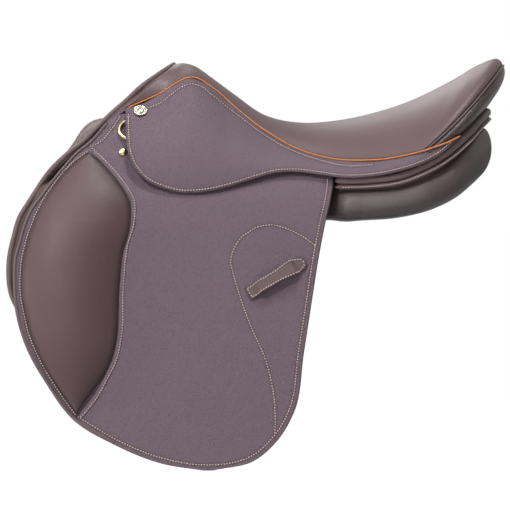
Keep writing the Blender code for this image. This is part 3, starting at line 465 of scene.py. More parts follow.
def carry(profile, line, normal, scale=1.0):
    """A profile of (along the surface, off the surface) points carried along a line with its normals.

    Ring point = line point + a * (tangent x normal) + b * normal, for profile point (a, b) times scale.
    """
    tangent = unit(np.gradient(line, axis=0))
    side = unit(np.cross(tangent, normal))
    up = np.cross(side, tangent)
    scale = np.broadcast_to(scale, len(line))[:, None, None]
    return line[:, None] + scale * (profile[None, :, :1] * side[:, None] + profile[None, :, 1:] * up[:, None])


def oval(across, off, sides=16, power=1.0):
    """A closed oval profile with half-sizes across and off; a power under 1 squares it."""
    turn = np.linspace(0, 2 * math.pi, sides, endpoint=False)
    c, s = np.cos(turn), np.sin(turn)
    return np.stack([across * np.sign(c) * np.abs(c) ** power, off * np.sign(s) * np.abs(s) ** power], axis=1)


def rounded_ends(count, reach=0.04):
    """A scale along a line that rises from a small end to 1 as a quarter circle and falls the same way."""
    s = np.linspace(0, 1, count)
    near = np.clip(np.minimum(s, 1 - s) / reach, 0, 1)
    return np.maximum(np.sqrt(1 - (1 - near) ** 2), 0.12)


def put_roll(name, profile, line, normal, ends, look):
    """A profile carried along a line with its normals, rounded off over that share of it at both ends."""
    return put_rings(name, carry(profile, line, normal, rounded_ends(len(line), ends)), look)


def leather_sheet(name, plan, outer, thickness, side, look, seams=(), relief=None):
    """A layer with rounded edges: front y = outer + relief - roll, back y = outer - thickness + roll."""
    x, z = plan[..., 0], plan[..., 1]
    y = outer(x, z)
    rim = rim_distance(plan)
    roll = edge_roll(rim, 0.42 * thickness)
    raised = 0 if relief is None else relief(x, z)
    front = np.stack([x, side * (y + raised - roll), z], axis=-1)
    back = np.stack([x, side * (y - thickness + roll), z], axis=-1)
    seam = fade(rim, 1.6, 0.7)
    for line in seams:
        seam = np.maximum(seam, fade(close_to(plan, line), 2.2, 0.55))
    return put_sheet(name, front, back, look, seam)


def ruled(first, second, rows, columns):
    """A side-view grid between two curves: rows are shares along both, columns shares between them."""
    a, b = path(first, rows), path(second, rows)
    t = np.asarray(columns)[None, :, None]
    return a[:, None, :] * (1 - t) + b[:, None, :] * t


def stitch_points(line, normal, pitch, length, radius):
    """Stitches as small capsules every pitch along a line: (points, faces) of all of them as whole arrays.

    Each is four hexagonal rings on its own axis, which leans 9 degrees off the line and dips at both ends.
    """
    along = lengths(line)
    count = max(1, int(along[-1] / pitch))
    places = (np.arange(count) + 0.5) * along[-1] / count
    tangent = np.gradient(line, axis=0)
    centre, ahead, up = [np.stack([np.interp(places, along, c) for c in field.T], axis=1)
                         for field in (line, tangent, normal)]
    up = unit(up)
    ahead = unit(ahead - up * (ahead * up).sum(1, keepdims=True))
    side = np.cross(up, ahead)
    lean_cos, lean_sin = math.cos(STITCH_LEAN), math.sin(STITCH_LEAN)
    ahead, side = ahead * lean_cos + side * lean_sin, side * lean_cos - ahead * lean_sin
    turn = np.linspace(0, 2 * math.pi, 6, endpoint=False)
    a = np.repeat([-0.5, -0.3, 0.3, 0.5], 6) * length
    r = np.repeat([0.4, 1.0, 1.0, 0.4], 6) * radius
    b = r * np.cos(np.tile(turn, 4))
    c = r * np.sin(np.tile(turn, 4)) + np.repeat([-0.3, 0.25, 0.25, -0.3], 6) * radius
    points = (centre[:, None] + a[None, :, None] * ahead[:, None] + b[None, :, None] * side[:, None]
              + c[None, :, None] * up[:, None])
    start = (np.arange(count) * 24)[:, None, None]
    quads = (grid_faces(4, 6, wrap=True)[None] + start).reshape(-1, 4)
    caps = (np.array([np.arange(6), np.arange(23, 17, -1)])[None] + start).reshape(-1, 6)
    return points.reshape(-1, 3), quads, caps


def put_stitches(name, runs):
    """One object of all the stitch runs, each a (line, normals) pair."""
    looks = bpy.context.scene.saddle_looks
    sizes = looks.stitch_pitch / MM, looks.stitch_length / MM, looks.thread_radius / MM
    points, quads, caps, total = [], [], [], 0
    for line, normal in runs:
        made = stitch_points(line, normal, *sizes)
        points.append(made[0])
        quads.append(made[1] + total)
        caps.append(made[2] + total)
        total += len(made[0])
    return put_mesh(name, np.concatenate(points), [np.concatenate(quads), np.concatenate(caps)], "thread")


def turned(profile, origin, axes, sides=40, ripple=None):
    """Rings of a profile of (radius, height) turned about the outward axis at origin.

    Where the radius is over 0.85 of the largest it is scaled by 1 + ripple(turn), as on a milled rim.
    """
    turn = np.linspace(0, 2 * math.pi, sides, endpoint=False)
    radius, height = np.array(profile).T[..., None]
    if ripple is not None:
        radius = radius * (1 + ripple(turn) * (radius > 0.85 * radius.max()))
    along, outward, upward = axes
    return (origin + (radius * np.cos(turn))[..., None] * along + (radius * np.sin(turn))[..., None] * upward
            + (height + 0 * turn)[..., None] * outward)


def plane_axes(outer, side, x, z, reach=6.0):
    """Along, outward and upward axes of the tangent plane of y = side * outer(x, z), with no lean along x."""
    slope = float(outer(x, z - reach) - outer(x, z + reach)) / (2 * reach)
    outward = np.array([0, side, slope]) / math.hypot(1, slope)
    upward = np.array([0, -side * slope, 1]) / math.hypot(1, slope)
    return np.array([1.0, 0, 0]), outward, upward


def declare(piece, body, nodes=()):
    """Says which body a piece rides and which CAD nodes it stands for."""
    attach(piece, body)
    if nodes:
        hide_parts(*nodes)


def over_flap_fold(obj):
    """Bakes the piece's transform into its mesh."""
    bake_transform(obj)


def over_skirt_fold(obj):
    """Bakes the piece's transform into its mesh."""
    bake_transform(obj)


# ---- Finishes ----

def linear(code):
    """An sRGB hex colour as linear RGBA."""
    channels = [int(code[i:i + 2], 16) / 255 for i in (1, 3, 5)]
    return tuple(c / 12.92 if c <= 0.04045 else ((c + 0.055) / 1.055) ** 2.4 for c in channels) + (1.0,)


def add_node(tree, kind, settings=None, values=None, links=None):
    """Adds a node with its settings, the values of its unlinked inputs and its links."""
    node = tree.nodes.new("ShaderNode" + kind)
    for key, value in (settings or {}).items():
        setattr(node, key, value)
    for key, value in (values or {}).items():
        node.inputs[key].default_value = value
    for key, source in (links or {}).items():
        tree.links.new(source, node.inputs[key])
    return node


def new_finish(name):
    """An empty material: (material, node tree, its Object coordinates)."""
    made = bpy.data.materials.new(name)
    made.use_nodes = True
    made.node_tree.nodes.clear()
    return made, made.node_tree, add_node(made.node_tree, "TexCoord").outputs["Object"]


def surfaced(made, values, links):
    """The material, ended by a Principled shader with these values and links."""
    shader = add_node(made.node_tree, "BsdfPrincipled", values=values, links=links)
    add_node(made.node_tree, "OutputMaterial", links={"Surface": shader.outputs[0]})
    return made


def leather(name, light, dark, pebble, depth, roughness, patch=0.35, gloss=0.35):
    """Tanned and dyed hide: pebbles of that width in mm between darker creases, pores and slow dye patches.

    The seam mark of a piece darkens it at edges and along stitching; on the panels and knee pads it also
    carries painted shade.
    """
    made, tree, where = new_finish(name)
    drift = add_node(tree, "TexNoise", values={"Scale": 400 / pebble, "Detail": 2.0}, links={"Vector": where})
    warped = add_node(tree, "VectorMath", {"operation": "MULTIPLY_ADD"},
                      {1: (0.0006 * pebble,) * 3}, {0: drift.outputs["Color"], 2: where})
    cells = add_node(tree, "TexVoronoi", {"feature": "DISTANCE_TO_EDGE"}, {"Scale": 1000 / pebble},
                     {"Vector": warped.outputs[0]})
    pebbles = add_node(tree, "MapRange", {"interpolation_type": "SMOOTHSTEP"},
                       {"From Min": 0.0, "From Max": 0.22}, {"Value": cells.outputs["Distance"]})
    pores = add_node(tree, "TexNoise", values={"Scale": 2200 / pebble, "Detail": 3.0},
                     links={"Vector": where})
    patches = add_node(tree, "TexNoise", values={"Scale": 14.0, "Detail": 4.0, "Roughness": 0.6},
                       links={"Vector": where})
    height = add_node(tree, "Math", {"operation": "MULTIPLY_ADD"}, {1: 0.22},
                      {0: pores.outputs["Fac"], 2: pebbles.outputs["Result"]})
    bump = add_node(tree, "Bump", values={"Strength": 1.0, "Distance": depth * MM},
                    links={"Height": height.outputs[0]})
    shade = add_node(tree, "Math", {"operation": "MULTIPLY_ADD", "use_clamp": True}, {1: patch},
                     {0: patches.outputs["Fac"], 2: pebbles.outputs["Result"]})
    level = add_node(tree, "MapRange",
                     values={"From Min": 0.0, "From Max": 1.0 + patch / 2, "To Min": 0.45, "To Max": 1.0},
                     links={"Value": shade.outputs[0]})
    mark = add_node(tree, "Attribute", {"attribute_name": "seam"})
    worn = add_node(tree, "Math", {"operation": "MULTIPLY_ADD", "use_clamp": True}, {1: -0.7},
                    {0: mark.outputs["Fac"], 2: level.outputs["Result"]})
    colour = add_node(tree, "Mix", {"data_type": "RGBA"}, {6: dark, 7: light}, {0: worn.outputs[0]})
    rough = add_node(tree, "MapRange", values={"To Min": roughness - 0.06, "To Max": roughness + 0.08},
                     links={"Value": patches.outputs["Fac"]})
    return surfaced(made, {"Specular IOR Level": gloss, "IOR": 1.48},
                    {"Base Color": colour.outputs[2], "Roughness": rough.outputs["Result"],
                     "Normal": bump.outputs[0]})


def metal(name, colour, dark, roughness, scratch):
    """Plated or forged metal: its colour, a little darker in slow patches, with scratches that wide in mm."""
    made, tree, where = new_finish(name)
    patches = add_node(tree, "TexNoise", values={"Scale": 160.0, "Detail": 3.0}, links={"Vector": where})
    colours = add_node(tree, "Mix", {"data_type": "RGBA"}, {6: dark, 7: colour}, {0: patches.outputs["Fac"]})
    rough = add_node(tree, "MapRange", values={"To Min": roughness * 0.7, "To Max": roughness * 1.3},
                     links={"Value": patches.outputs["Fac"]})
    lines = add_node(tree, "TexNoise", values={"Scale": 1000 / scratch, "Detail": 2.0},
                     links={"Vector": where})
    bump = add_node(tree, "Bump", values={"Strength": 0.2, "Distance": 0.00002},
                    links={"Height": lines.outputs["Fac"]})
    return surfaced(made, {"Metallic": 1.0},
                    {"Base Color": colours.outputs[2], "Roughness": rough.outputs["Result"],
                     "Normal": bump.outputs[0]})


def woven(name, light, dark, thread, roughness):
    """Woven tape: crossing threads of that width in mm, as the product of two sines, darker between them."""
    made, tree, where = new_finish(name)
    warp, weft = [add_node(tree, "TexWave", {"bands_direction": axis},
                           {"Scale": 314 / thread / 2, "Distortion": 0.6}, {"Vector": where})
                  for axis in "XZ"]
    cross = add_node(tree, "Math", {"operation": "MULTIPLY"},
                     links={0: warp.outputs["Fac"], 1: weft.outputs["Fac"]})
    colours = add_node(tree, "Mix", {"data_type": "RGBA"}, {6: dark, 7: light}, {0: cross.outputs[0]})
    bump = add_node(tree, "Bump", values={"Strength": 0.8, "Distance": 0.0003},
                    links={"Height": cross.outputs[0]})
    return surfaced(made, {"Roughness": roughness},
                    {"Base Color": colours.outputs[2], "Normal": bump.outputs[0]})


def plywood():
    """Laminated beech, steamed and glued: plies that show as pale and dark lines, with a drawn-out grain."""
    made, tree, where = new_finish("laminated_beech_steamed")
    stretched = add_node(tree, "Mapping", values={"Scale": (0.12, 1.0, 1.0)}, links={"Vector": where})
    grain = add_node(tree, "TexNoise", values={"Scale": 500.0, "Detail": 4.0},
                     links={"Vector": stretched.outputs[0]})
    plies = add_node(tree, "TexWave", {"bands_direction": "Z"}, {"Scale": 105.0, "Distortion": 1.5},
                     {"Vector": where})
    both = add_node(tree, "Math", {"operation": "MULTIPLY_ADD", "use_clamp": True}, {1: 0.35},
                    {0: plies.outputs["Fac"], 2: grain.outputs["Fac"]})
    colours = add_node(tree, "Mix", {"data_type": "RGBA"},
                       {6: linear("#8F6A45"), 7: linear("#C9A57A")}, {0: both.outputs[0]})
    bump = add_node(tree, "Bump", values={"Strength": 0.4, "Distance": 0.0002},
                    links={"Height": grain.outputs["Fac"]})
    return surfaced(made, {"Roughness": 0.55}, {"Base Color": colours.outputs[2], "Normal": bump.outputs[0]})


def floor_paint():
    """Matt floor paint, rolled: near white, and lit for the camera alone so that it joins the background."""
    made, tree, _ = new_finish("matt_floor_paint_rolled")
    rays = add_node(tree, "LightPath")
    seen = add_node(tree, "Math", {"operation": "ADD", "use_clamp": True},
                    links={0: rays.outputs["Is Camera Ray"], 1: rays.outputs["Is Transmission Ray"]})
    glow = add_node(tree, "Math", {"operation": "MULTIPLY"}, {1: 0.85}, {0: seen.outputs[0]})
    return surfaced(made, {"Base Color": linear("#F2F2F2"), "Roughness": 0.9, "Emission Color": WHITE},
                    {"Emission Strength": glow.outputs[0]})


def make_finishes(looks):
    """Every finish, by the name its pieces ask for."""
    # Each hide's name, light and dark colour, pebble width and bump depth in mm, roughness, dye patches, gloss
    hides = {
        # Cowhide embossed with a pebble grain, drum dyed: matt, grey-brown, a little light on each pebble
        "flap": ("embossed_cowhide_drum_dyed", looks.flap_colour, "#4A3D42", looks.pebble / MM, 0.3, 0.5),
        # Calfskin with its own fine grain, waxed: smooth and softly shining over padding
        "calf": ("calfskin_waxed", looks.calf_colour, "#3E3132", 0.9, 0.05, 0.36, 0.5, 0.5),
        # The same calfskin stretched over the knee pads, rubbed dull; its colour is set light for the lit
        # front third, and the knee pads paint shade over the rest
        "pad": ("knee_pad_calfskin_rubbed", linear("#6F5558"), "#332627", 0.9, 0.05, 0.36, 0.5, 0.36),
        # The same calfskin in the darker lot used for panels
        "panel": ("panel_calfskin_waxed", linear("#544340"), "#302528", 0.9, 0.06, 0.3, 0.5, 0.62),
        # The panels' outer leather: a lighter copy of the panel calfskin whose top stands in for a painted
        # highlight, painted darker in shade towards the foot
        "foot": ("panel_calfskin_painted_light_and_shade", linear("#8A7672"), "#261D20", 0.9, 0.06, 0.36, 0.5, 0.7),
        # Rolled edge leather, burnished along its length: greyer, with a worn shine
        "edge": ("rolled_edge_leather_burnished", linear("#7C686A"), "#3A2F31", 0.8, 0.05, 0.4, 0.6, 0.4),
        # Bridle leather for straps, curried with wax: firm and browner, with a tight grain
        "strap": ("bridle_leather_curried", linear("#6B5850"), "#3A2D29", 1.1, 0.08, 0.46),
        # Goatskin piping over a cord, aniline dyed orange: fine crossways creases and a soft shine
        "piping": ("goatskin_piping_aniline_dyed", looks.piping_colour, "#A85F2E", 0.9, 0.06, 0.5, 0.4, 0.3),
    }
    made = {look: leather(name, light, linear(dark), *rest)
            for look, (name, light, dark, *rest) in hides.items()}
    return made | {
        # Linen thread drawn through wax: pale, slightly peach, matt with a twist too fine to see
        "thread": woven("linen_thread_waxed", looks.thread_colour, linear("#DBC2B8"), 0.35, 0.6),
        # Cast brass, lacquered: warm and bright with soft reflections
        "brass": metal("lacquered_brass_cast", linear("#FBEDC6"), linear("#E4CE90"), 0.3, 0.9),
        # Nickel silver, turned and polished: pale with a faint warmth
        "nickel": metal("nickel_silver_polished", linear("#EDE9DC"), linear("#CBC6B6"), 0.26, 0.9),
        # Drop-forged steel, tumbled: grey and evenly dull
        "steel": metal("forged_steel_tumbled", linear("#B5B5B5"), linear("#7E7E80"), 0.38, 0.6),
        # Jute and cotton tape, plain woven: straw-coloured threads 1.2 mm apart
        "web": woven("jute_tape_woven", linear("#B8A882"), linear("#7C6B4B"), 1.2, 0.85),
        "wood": plywood(),
        "floor": floor_paint(),
    }


# The finishes made so far, by name
FINISHES = {}


def finish(look):
    """The finish of that name; all are made the first time one is asked for."""
    if not FINISHES:
        FINISHES.update(make_finishes(bpy.context.scene.saddle_looks))
    return FINISHES[look]


# ---- The saddle's settings ----

COLOUR = {"size": 4, "min": 0.0, "max": 1.0, "subtype": "COLOR"}
LENGTH = {"subtype": "DISTANCE", "unit": "LENGTH", "precision": 5}


class SaddleLooks(bpy.types.PropertyGroup):
    """Sizes and colours of the saddle's finish."""
    flap_colour: bpy.props.FloatVectorProperty(
        name="Flap colour", description="Grain leather of the flaps", default=linear("#806C78"), **COLOUR)
    calf_colour: bpy.props.FloatVectorProperty(
        name="Calf colour", description="Smooth leather on the seat", default=linear("#735B5D"), **COLOUR)
    piping_colour: bpy.props.FloatVectorProperty(
        name="Piping colour", description="Piping along the seat", default=linear("#EC985A"), **COLOUR)
    thread_colour: bpy.props.FloatVectorProperty(
        name="Thread colour", description="All the stitching", default=linear("#F9E6DF"), **COLOUR)
    pebble: bpy.props.FloatProperty(
        name="Pebble width", description="Width of one pebble of the flap's grain",
        default=0.0023, min=0.0005, max=0.01, **LENGTH)
    stitch_pitch: bpy.props.FloatProperty(
        name="Stitch pitch", description="Distance from one stitch to the next",
        default=0.0034, min=0.001, max=0.02, **LENGTH)
    stitch_length: bpy.props.FloatProperty(
        name="Stitch length", description="Length of one stitch that shows",
        default=0.0022, min=0.0005, max=0.02, **LENGTH)
    thread_radius: bpy.props.FloatProperty(
        name="Thread radius", description="Half the thickness of the waxed thread",
        default=0.00072, min=0.0001, max=0.002, **LENGTH)
    piping_radius: bpy.props.FloatProperty(
        name="Piping radius", description="Half the thickness of the seat piping",
        default=0.001, min=0.0005, max=0.005, **LENGTH)
    floor_height: bpy.props.FloatProperty(
        name="Floor height", description="Height of the studio floor, below the flaps",
        default=-0.4, min=-2.0, max=-0.31, **LENGTH)


class AddPiece:
    """What all the operators that add pieces share."""
    bl_options = {"REGISTER", "UNDO"}


class SADDLE_OT_seat(AddPiece, bpy.types.Operator):
    """Add the padded seat cover, turned down at the pommel"""
    bl_idname = "saddle.seat"
    bl_label = "Seat"

    def execute(self, context):
        top = seat_points(np.linspace(0, 1, 170), np.sin(np.linspace(-math.pi / 2, math.pi / 2, 121)))
        normal = grid_normals(top)[0]
        ahead = unit(top[0] - top[1])
        # The front edge turns down round a quarter circle and ends in a short straight flange
        turn = np.radians([90, 75, 60, 45, 30, 15])[:, None, None]
        lip = top[0] + SEAT_LIP_R * np.sin(turn) * ahead - SEAT_LIP_R * (1 - np.cos(turn)) * normal
        flange = lip[0] - np.array([9.0, 6.0, 3.0])[:, None, None] * normal
        front = np.concatenate([flange, lip, top])
        normals = grid_normals(front)
        rim = rim_distance(front)
        roll = edge_roll(rim, 0.45 * COVER_T)
        cover = put_sheet("seat", front - roll[..., None] * normals,
                          front - (COVER_T - roll)[..., None] * normals, "calf", fade(rim, 2.5, 0.6))
        declare(cover, "tree", ["seat_cover", "seat_foam"])
        return {"FINISHED"}


class SADDLE_OT_piping(AddPiece, bpy.types.Operator):
    """Add the orange piping along both edges of the seat"""
    bl_idname = "saddle.piping"
    bl_label = "Seat piping"

    def execute(self, context):
        radius = context.scene.saddle_looks.piping_radius / MM
        for side, word in SIDES:
            edge = seat_points(np.linspace(0, 1, 61), [side * 1.0])[:-8, 0]
            line = np.concatenate([edge, np.array(PIPING_TAIL) * [1, side, 1]])
            line = even(line + np.array([0, side * (radius + 0.6), -radius - 0.3]), 2.5)
            outward = np.tile([0.0, side, 0.0], (len(line), 1))
            cord = oval(radius, radius, 12)
            piece = put_roll("seat_piping_trim_" + word, cord, line, outward, 0.008, "piping")
            declare(piece, "tree", ["seat_piping_" + word])
        return {"FINISHED"}


class SADDLE_OT_cantle(AddPiece, bpy.types.Operator):
    """Add the leather behind the cantle and the welt along its rim"""
    bl_idname = "saddle.cantle"
    bl_label = "Cantle"

    def execute(self, context):
        rim = seat_points([1.0], np.linspace(-0.99, 0.99, 121))[0]
        along = np.gradient(rim, axis=0)
        outward = unit(np.stack([along[:, 1], -along[:, 0], 0 * along[:, 0]], axis=1))
        foot = path(mirrored(FACING[3:]) + FACING[:2:-1][1:], 121) * [1, 0.965, 1] + [0, 0, 10.5]
        # From the rim to the facing, bulging outward by sin(pi v^0.7) of a few millimetres
        v = crowded(40, 90, (0.5, 1.2))[:, None, None]
        outer = ((rim - [0, 0, 4])[None] * (1 - v) + foot[None] * v
                 + np.sin(np.pi * v ** 0.7) * CANTLE_BULGE * outward[None])
        back = put_sheet("cantle_backing", outer, outer - COVER_T * outward[None], "panel",
                         fade(rim_distance(outer), 3.0, 0.6))
        declare(back, "tree", ["cantle_back"])
        line = rim + 0.1 * outward - [0, 0, 2.2]
        up = np.tile([0.0, 0.0, 1.0], (len(line), 1))
        welt = put_roll("cantle_rim_welt", oval(CANTLE_WELT_R, CANTLE_WELT_R, 14), line, up, 0.02, "calf")
        declare(welt, "tree", ["cantle_welt"])
        return {"FINISHED"}


class SADDLE_OT_skirts(AddPiece, bpy.types.Operator):
    """Add both skirts with their edge stitching and the decorative line under the piping"""
    bl_idname = "saddle.skirts"
    bl_label = "Skirts"

    def execute(self, context):
        top = [(k[0], k[2] - 1.4) for k in SKIRT_TOP]
        plan = ruled(top, SKIRT_EDGE, crowded(250, 520), crowded(60, 90))
        edge = inset(even([(-198, 130)] + SKIRT_EDGE[1:], STITCH_STEP), -SKIRT_STITCH_INSET)
        lines = [edge[edge[:, 0] < 199], even(SKIRT_LINE, STITCH_STEP)]
        for side, word in SIDES:
            piece = leather_sheet("skirt_leather_" + word, plan, skirt_y, SKIRT_T, side, "flap", lines)
            over_skirt_fold(piece)
            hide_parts("skirt_upper_" + word, "skirt_" + word)
            thread = put_stitches("skirt_stitching_" + word,
                                  [on_surface(skirt_y, side, run, 0.1) for run in lines])
            over_skirt_fold(thread)
        return {"FINISHED"}


class SADDLE_OT_flaps(AddPiece, bpy.types.Operator):
    """Add both flaps with their edge bead, edge stitching and stitched loop"""
    bl_idname = "saddle.flaps"
    bl_label = "Flaps"

    def execute(self, context):
        plan = ruled(FLAP_FRONT, FLAP_REAR, crowded(250, 480), crowded(170, 300))
        border = inset(even(FLAP_REAR[6:] + FLAP_FRONT[:14:-1], STITCH_STEP), FLAP_STITCH_INSET)
        loop = even(FLAP_LOOP, STITCH_STEP)
        lines = [border, loop, even(FLAP_TIP_LINE, STITCH_STEP)]
        bead_line = inset(even(FLAP_FRONT[1:17], 2.5), -BEAD[0])

        def groove(x, z):
            """The stitching draws the leather in by 0.3 mm."""
            return sum(fade(close_to(np.stack([x, z], -1), run), 1.8, -0.3) for run in (border, loop))

        for side, word in SIDES:
            piece = leather_sheet("flap_leather_" + word, plan, flap_y, FLAP_T, side, "flap", lines, groove)
            over_flap_fold(piece)
            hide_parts("flap_upper_" + word, "flap_" + word)
            thread = put_stitches("flap_stitching_" + word, [on_surface(flap_y, side, run) for run in lines])
            over_flap_fold(thread)
            bead = put_roll("flap_edge_bead_" + word, oval(*BEAD, 14),
                            *on_surface(flap_y, side, bead_line, 0.2), 0.02, "edge")
            over_flap_fold(bead)
        return {"FINISHED"}


class SADDLE_OT_knee_pads(AddPiece, bpy.types.Operator):
    """Add both padded knee pads with the stitched flange in front and the raised seam behind"""
    bl_idname = "saddle.knee_pads"
    bl_label = "Knee pads"

    def execute(self, context):
        across = crowded(80, 110, (0.4, 0.9, 1.6, 2.4, 3.2))
        plan = ruled(PAD_FRONT, PAD_REAR, crowded(190, 360, (0.4, 1.0, 2.0)), across)
        x, z = plan[..., 0], plan[..., 1]
        width = np.linalg.norm(plan[:, -1] - plan[:, 0], axis=1)[:, None]
        flange = np.clip(PAD_FLANGE / width, 0, 0.4)
        share = np.clip((across[None, :] - flange) / (1 - flange), 0, 1)
        # Across the pad, behind its flat flange, the crown is (1 - |2q - 1|^2.1)^0.8 of its height
        dome = np.clip(1 - np.abs(2 * share - 1) ** 2.1, 0, 1) ** 0.8
        base = flap_y(x, z) + GAP
        rise = PAD_COVER_T + curve(PAD_CROWN, z) * dome - edge_roll(rim_distance(plan), 0.6)
        seam = fade(share * width, 3.0, 0.8) + fade((1 - share) * width, 7.0, 0.9)
        # Painted shade: darker towards the pad's rear and its lower end, where the dome turns from the light
        painted_shade = 0.28 * np.clip((share - 0.35) / 0.5, 0, 1) + 0.35 * np.clip((-140 - z) / 80, 0, 1)
        flange_line = inset(even(PAD_FRONT, STITCH_STEP), -1.2)
        seam_line = even(PAD_SEAM, STITCH_STEP)
        for side, word in SIDES:
            front = np.stack([x, side * (base + rise), z], axis=-1)
            back = np.stack([x, side * base, z], axis=-1)
            pad = put_sheet("knee_pad_cover_" + word, front, back, "pad", np.maximum(seam, painted_shade))
            over_flap_fold(pad)
            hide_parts("knee_pad_tip_" + word, "knee_pad_" + word)
            welt = put_roll("knee_pad_seam_" + word, oval(*PAD_WELT, 16),
                            *on_surface(flap_y, side, inset(seam_line, PAD_WELT[0] / 2), 0.1), 0.03, "flap")
            over_flap_fold(welt)
            thread = put_stitches("knee_pad_stitching_" + word, [
                on_surface(flap_y, side, flange_line, GAP + 1.35), on_surface(flap_y, side, seam_line, 1.4)])
            over_flap_fold(thread)
        return {"FINISHED"}


class SADDLE_OT_keepers(AddPiece, bpy.types.Operator):
    """Add the strap loops that hold the ends of the stirrup leathers"""
    bl_idname = "saddle.keepers"
    bl_label = "Keepers"

    def execute(self, context):
        start, end, half = KEEPER_START, KEEPER_END, KEEPER_HALF
        s = start + (end - start) * crowded(70, end - start, (0.3, 0.8, 1.4))[:, None]
        w = (2 * crowded(16, 2 * half, (0.3, 0.8, 1.4)) - 1)[None, :]
        reach = half * (1 - 0.5 * np.clip((s - end + 6.5) / 6.5, 0, 1) ** 2)
        s, w = s + 0 * w, reach * w
        rim = rim_distance(np.stack([s, w], axis=-1))
        roll = edge_roll(rim, 1.1)
        inner, tip = half - 2.4, half - 5.2
        lines = [even([(start + 2.4, inner), (start + 2.4, 0), (start + 2.4, -inner)], 1.0),
                 even([(end - 2.6, tip), (end - 2.4, 0), (end - 2.6, -tip)], 1.0)]
        for k in (1, -1):
            long_side = [(start + 2.4, k * inner), (0, k * inner), (end - 7, k * inner), (end - 2.6, k * tip)]
            lines.append(even(long_side, 1.5))

        def lifted(position):
            """The strap stands off the flap by a smooth step q^2 (3 - 2q) that ends at both sewn ends."""
            ramp = np.clip((end - 11.5 - np.abs(position)) / 6.0, 0, 1)
            return KEEPER_RISE * ramp * ramp * (3 - 2 * ramp)

        for side, word in SIDES:
            along, outward, upward = plane_axes(flap_y, side, KEEPER_X, KEEPER_Z)
            origin = point_on(flap_y, side, KEEPER_X, KEEPER_Z) + outward * GAP
            ahead = along * math.cos(KEEPER_TURN) + upward * math.sin(KEEPER_TURN)
            aside = upward * math.cos(KEEPER_TURN) - along * math.sin(KEEPER_TURN)

            def place(s_at, w_at, level):
                """A point of the strap at its own length, width and height."""
                return origin + s_at[..., None] * ahead + w_at[..., None] * aside + level[..., None] * outward

            loop = put_sheet("keeper_loop_" + word, place(s, w, lifted(s) + KEEPER_T - roll),
                             place(s, w, lifted(s) + roll), "edge", fade(rim, 1.4, 0.8))
            declare(loop, "flap_" + word, ["keeper_" + word])
            runs = [(place(*line.T, lifted(line[:, 0]) + KEEPER_T + 0.05), np.tile(outward, (len(line), 1)))
                    for line in lines]
            declare(put_stitches("keeper_stitching_" + word, runs), "flap_" + word)
        return {"FINISHED"}


class SADDLE_OT_pommel(AddPiece, bpy.types.Operator):
    """Add the rolled binding over the pommel and the leather arch that closes it in front"""
    bl_idname = "saddle.pommel"
    bl_label = "Pommel binding"

    def execute(self, context):
        # The binding lies on the flap's face above and on the sweat flap's below, and joins at the top
        plan = inset(path(BINDING, np.linspace(0, 1, len(BINDING))), 3.2)
        height = plan[:, 1]
        y = np.where(height > 60, flap_y(0, height) - 5.0, flap_y(0, height) - SWEAT_DEPTH - 2)
        y[10:14] -= 2
        y[-3:] = (52, 34, 0)
        near = np.stack([plan[:, 0], -y, height], axis=1)
        line = even(np.concatenate([near, near[-2::-1] * [1, -1, 1]]), 2.5)
        across = np.tile([0.0, 1.0, 0.0], (len(line), 1)) * np.sign(line[:, 1:2] + 1e-6)
        toward = unit(np.array([-60.0, 0, 60.0]) - line)
        band = put_roll("pommel_rolled_binding", oval(3.6, 3.4, 18, 0.85), line, -toward, 0.006, "edge")
        declare(band, "tree", ["pommel_binding"])
        inner = line + 5.4 * toward * [1, 0, 1] - 2.6 * across
        lip = put_roll("pommel_inner_binding", oval(3.4, 3.0, 14), inner, -toward, 0.01, "panel")
        declare(lip, "tree")

        # The lining runs from the binding to a half ellipse, and bows forward by sin(pi v) of 6 mm
        turn = np.linspace(-math.pi / 2, math.pi / 2, 91)
        arch = np.stack([ARCH_X + 0 * turn, ARCH_HALF * np.sin(turn), ARCH_Z + ARCH_RISE * np.cos(turn)], 1)
        upper = even(line[line[:, 2] > 118], 1.0)
        upper = upper[np.linspace(0, len(upper) - 1, len(turn)).astype(int)]
        v = np.linspace(0, 1, 24)[:, None, None]
        sheet = upper[None] * (1 - v) + arch[None] * v + np.sin(np.pi * v) * np.array([6.0, 0, 0])
        lining = put_sheet("pommel_arch_lining", sheet, sheet + np.array([2.0, 0, 0]), "panel")
        declare(lining, "tree")
        front = seat_points([0.0], np.linspace(-1, 1, len(turn)))[0] - np.array([2.0, 0, 3.5])
        neck = front[None] * (1 - v) + upper[None] * v
        gusset = put_sheet("pommel_gusset_leather", neck, neck - np.array([0, 0, 2.0]), "calf")
        declare(gusset, "tree")
        return {"FINISHED"}


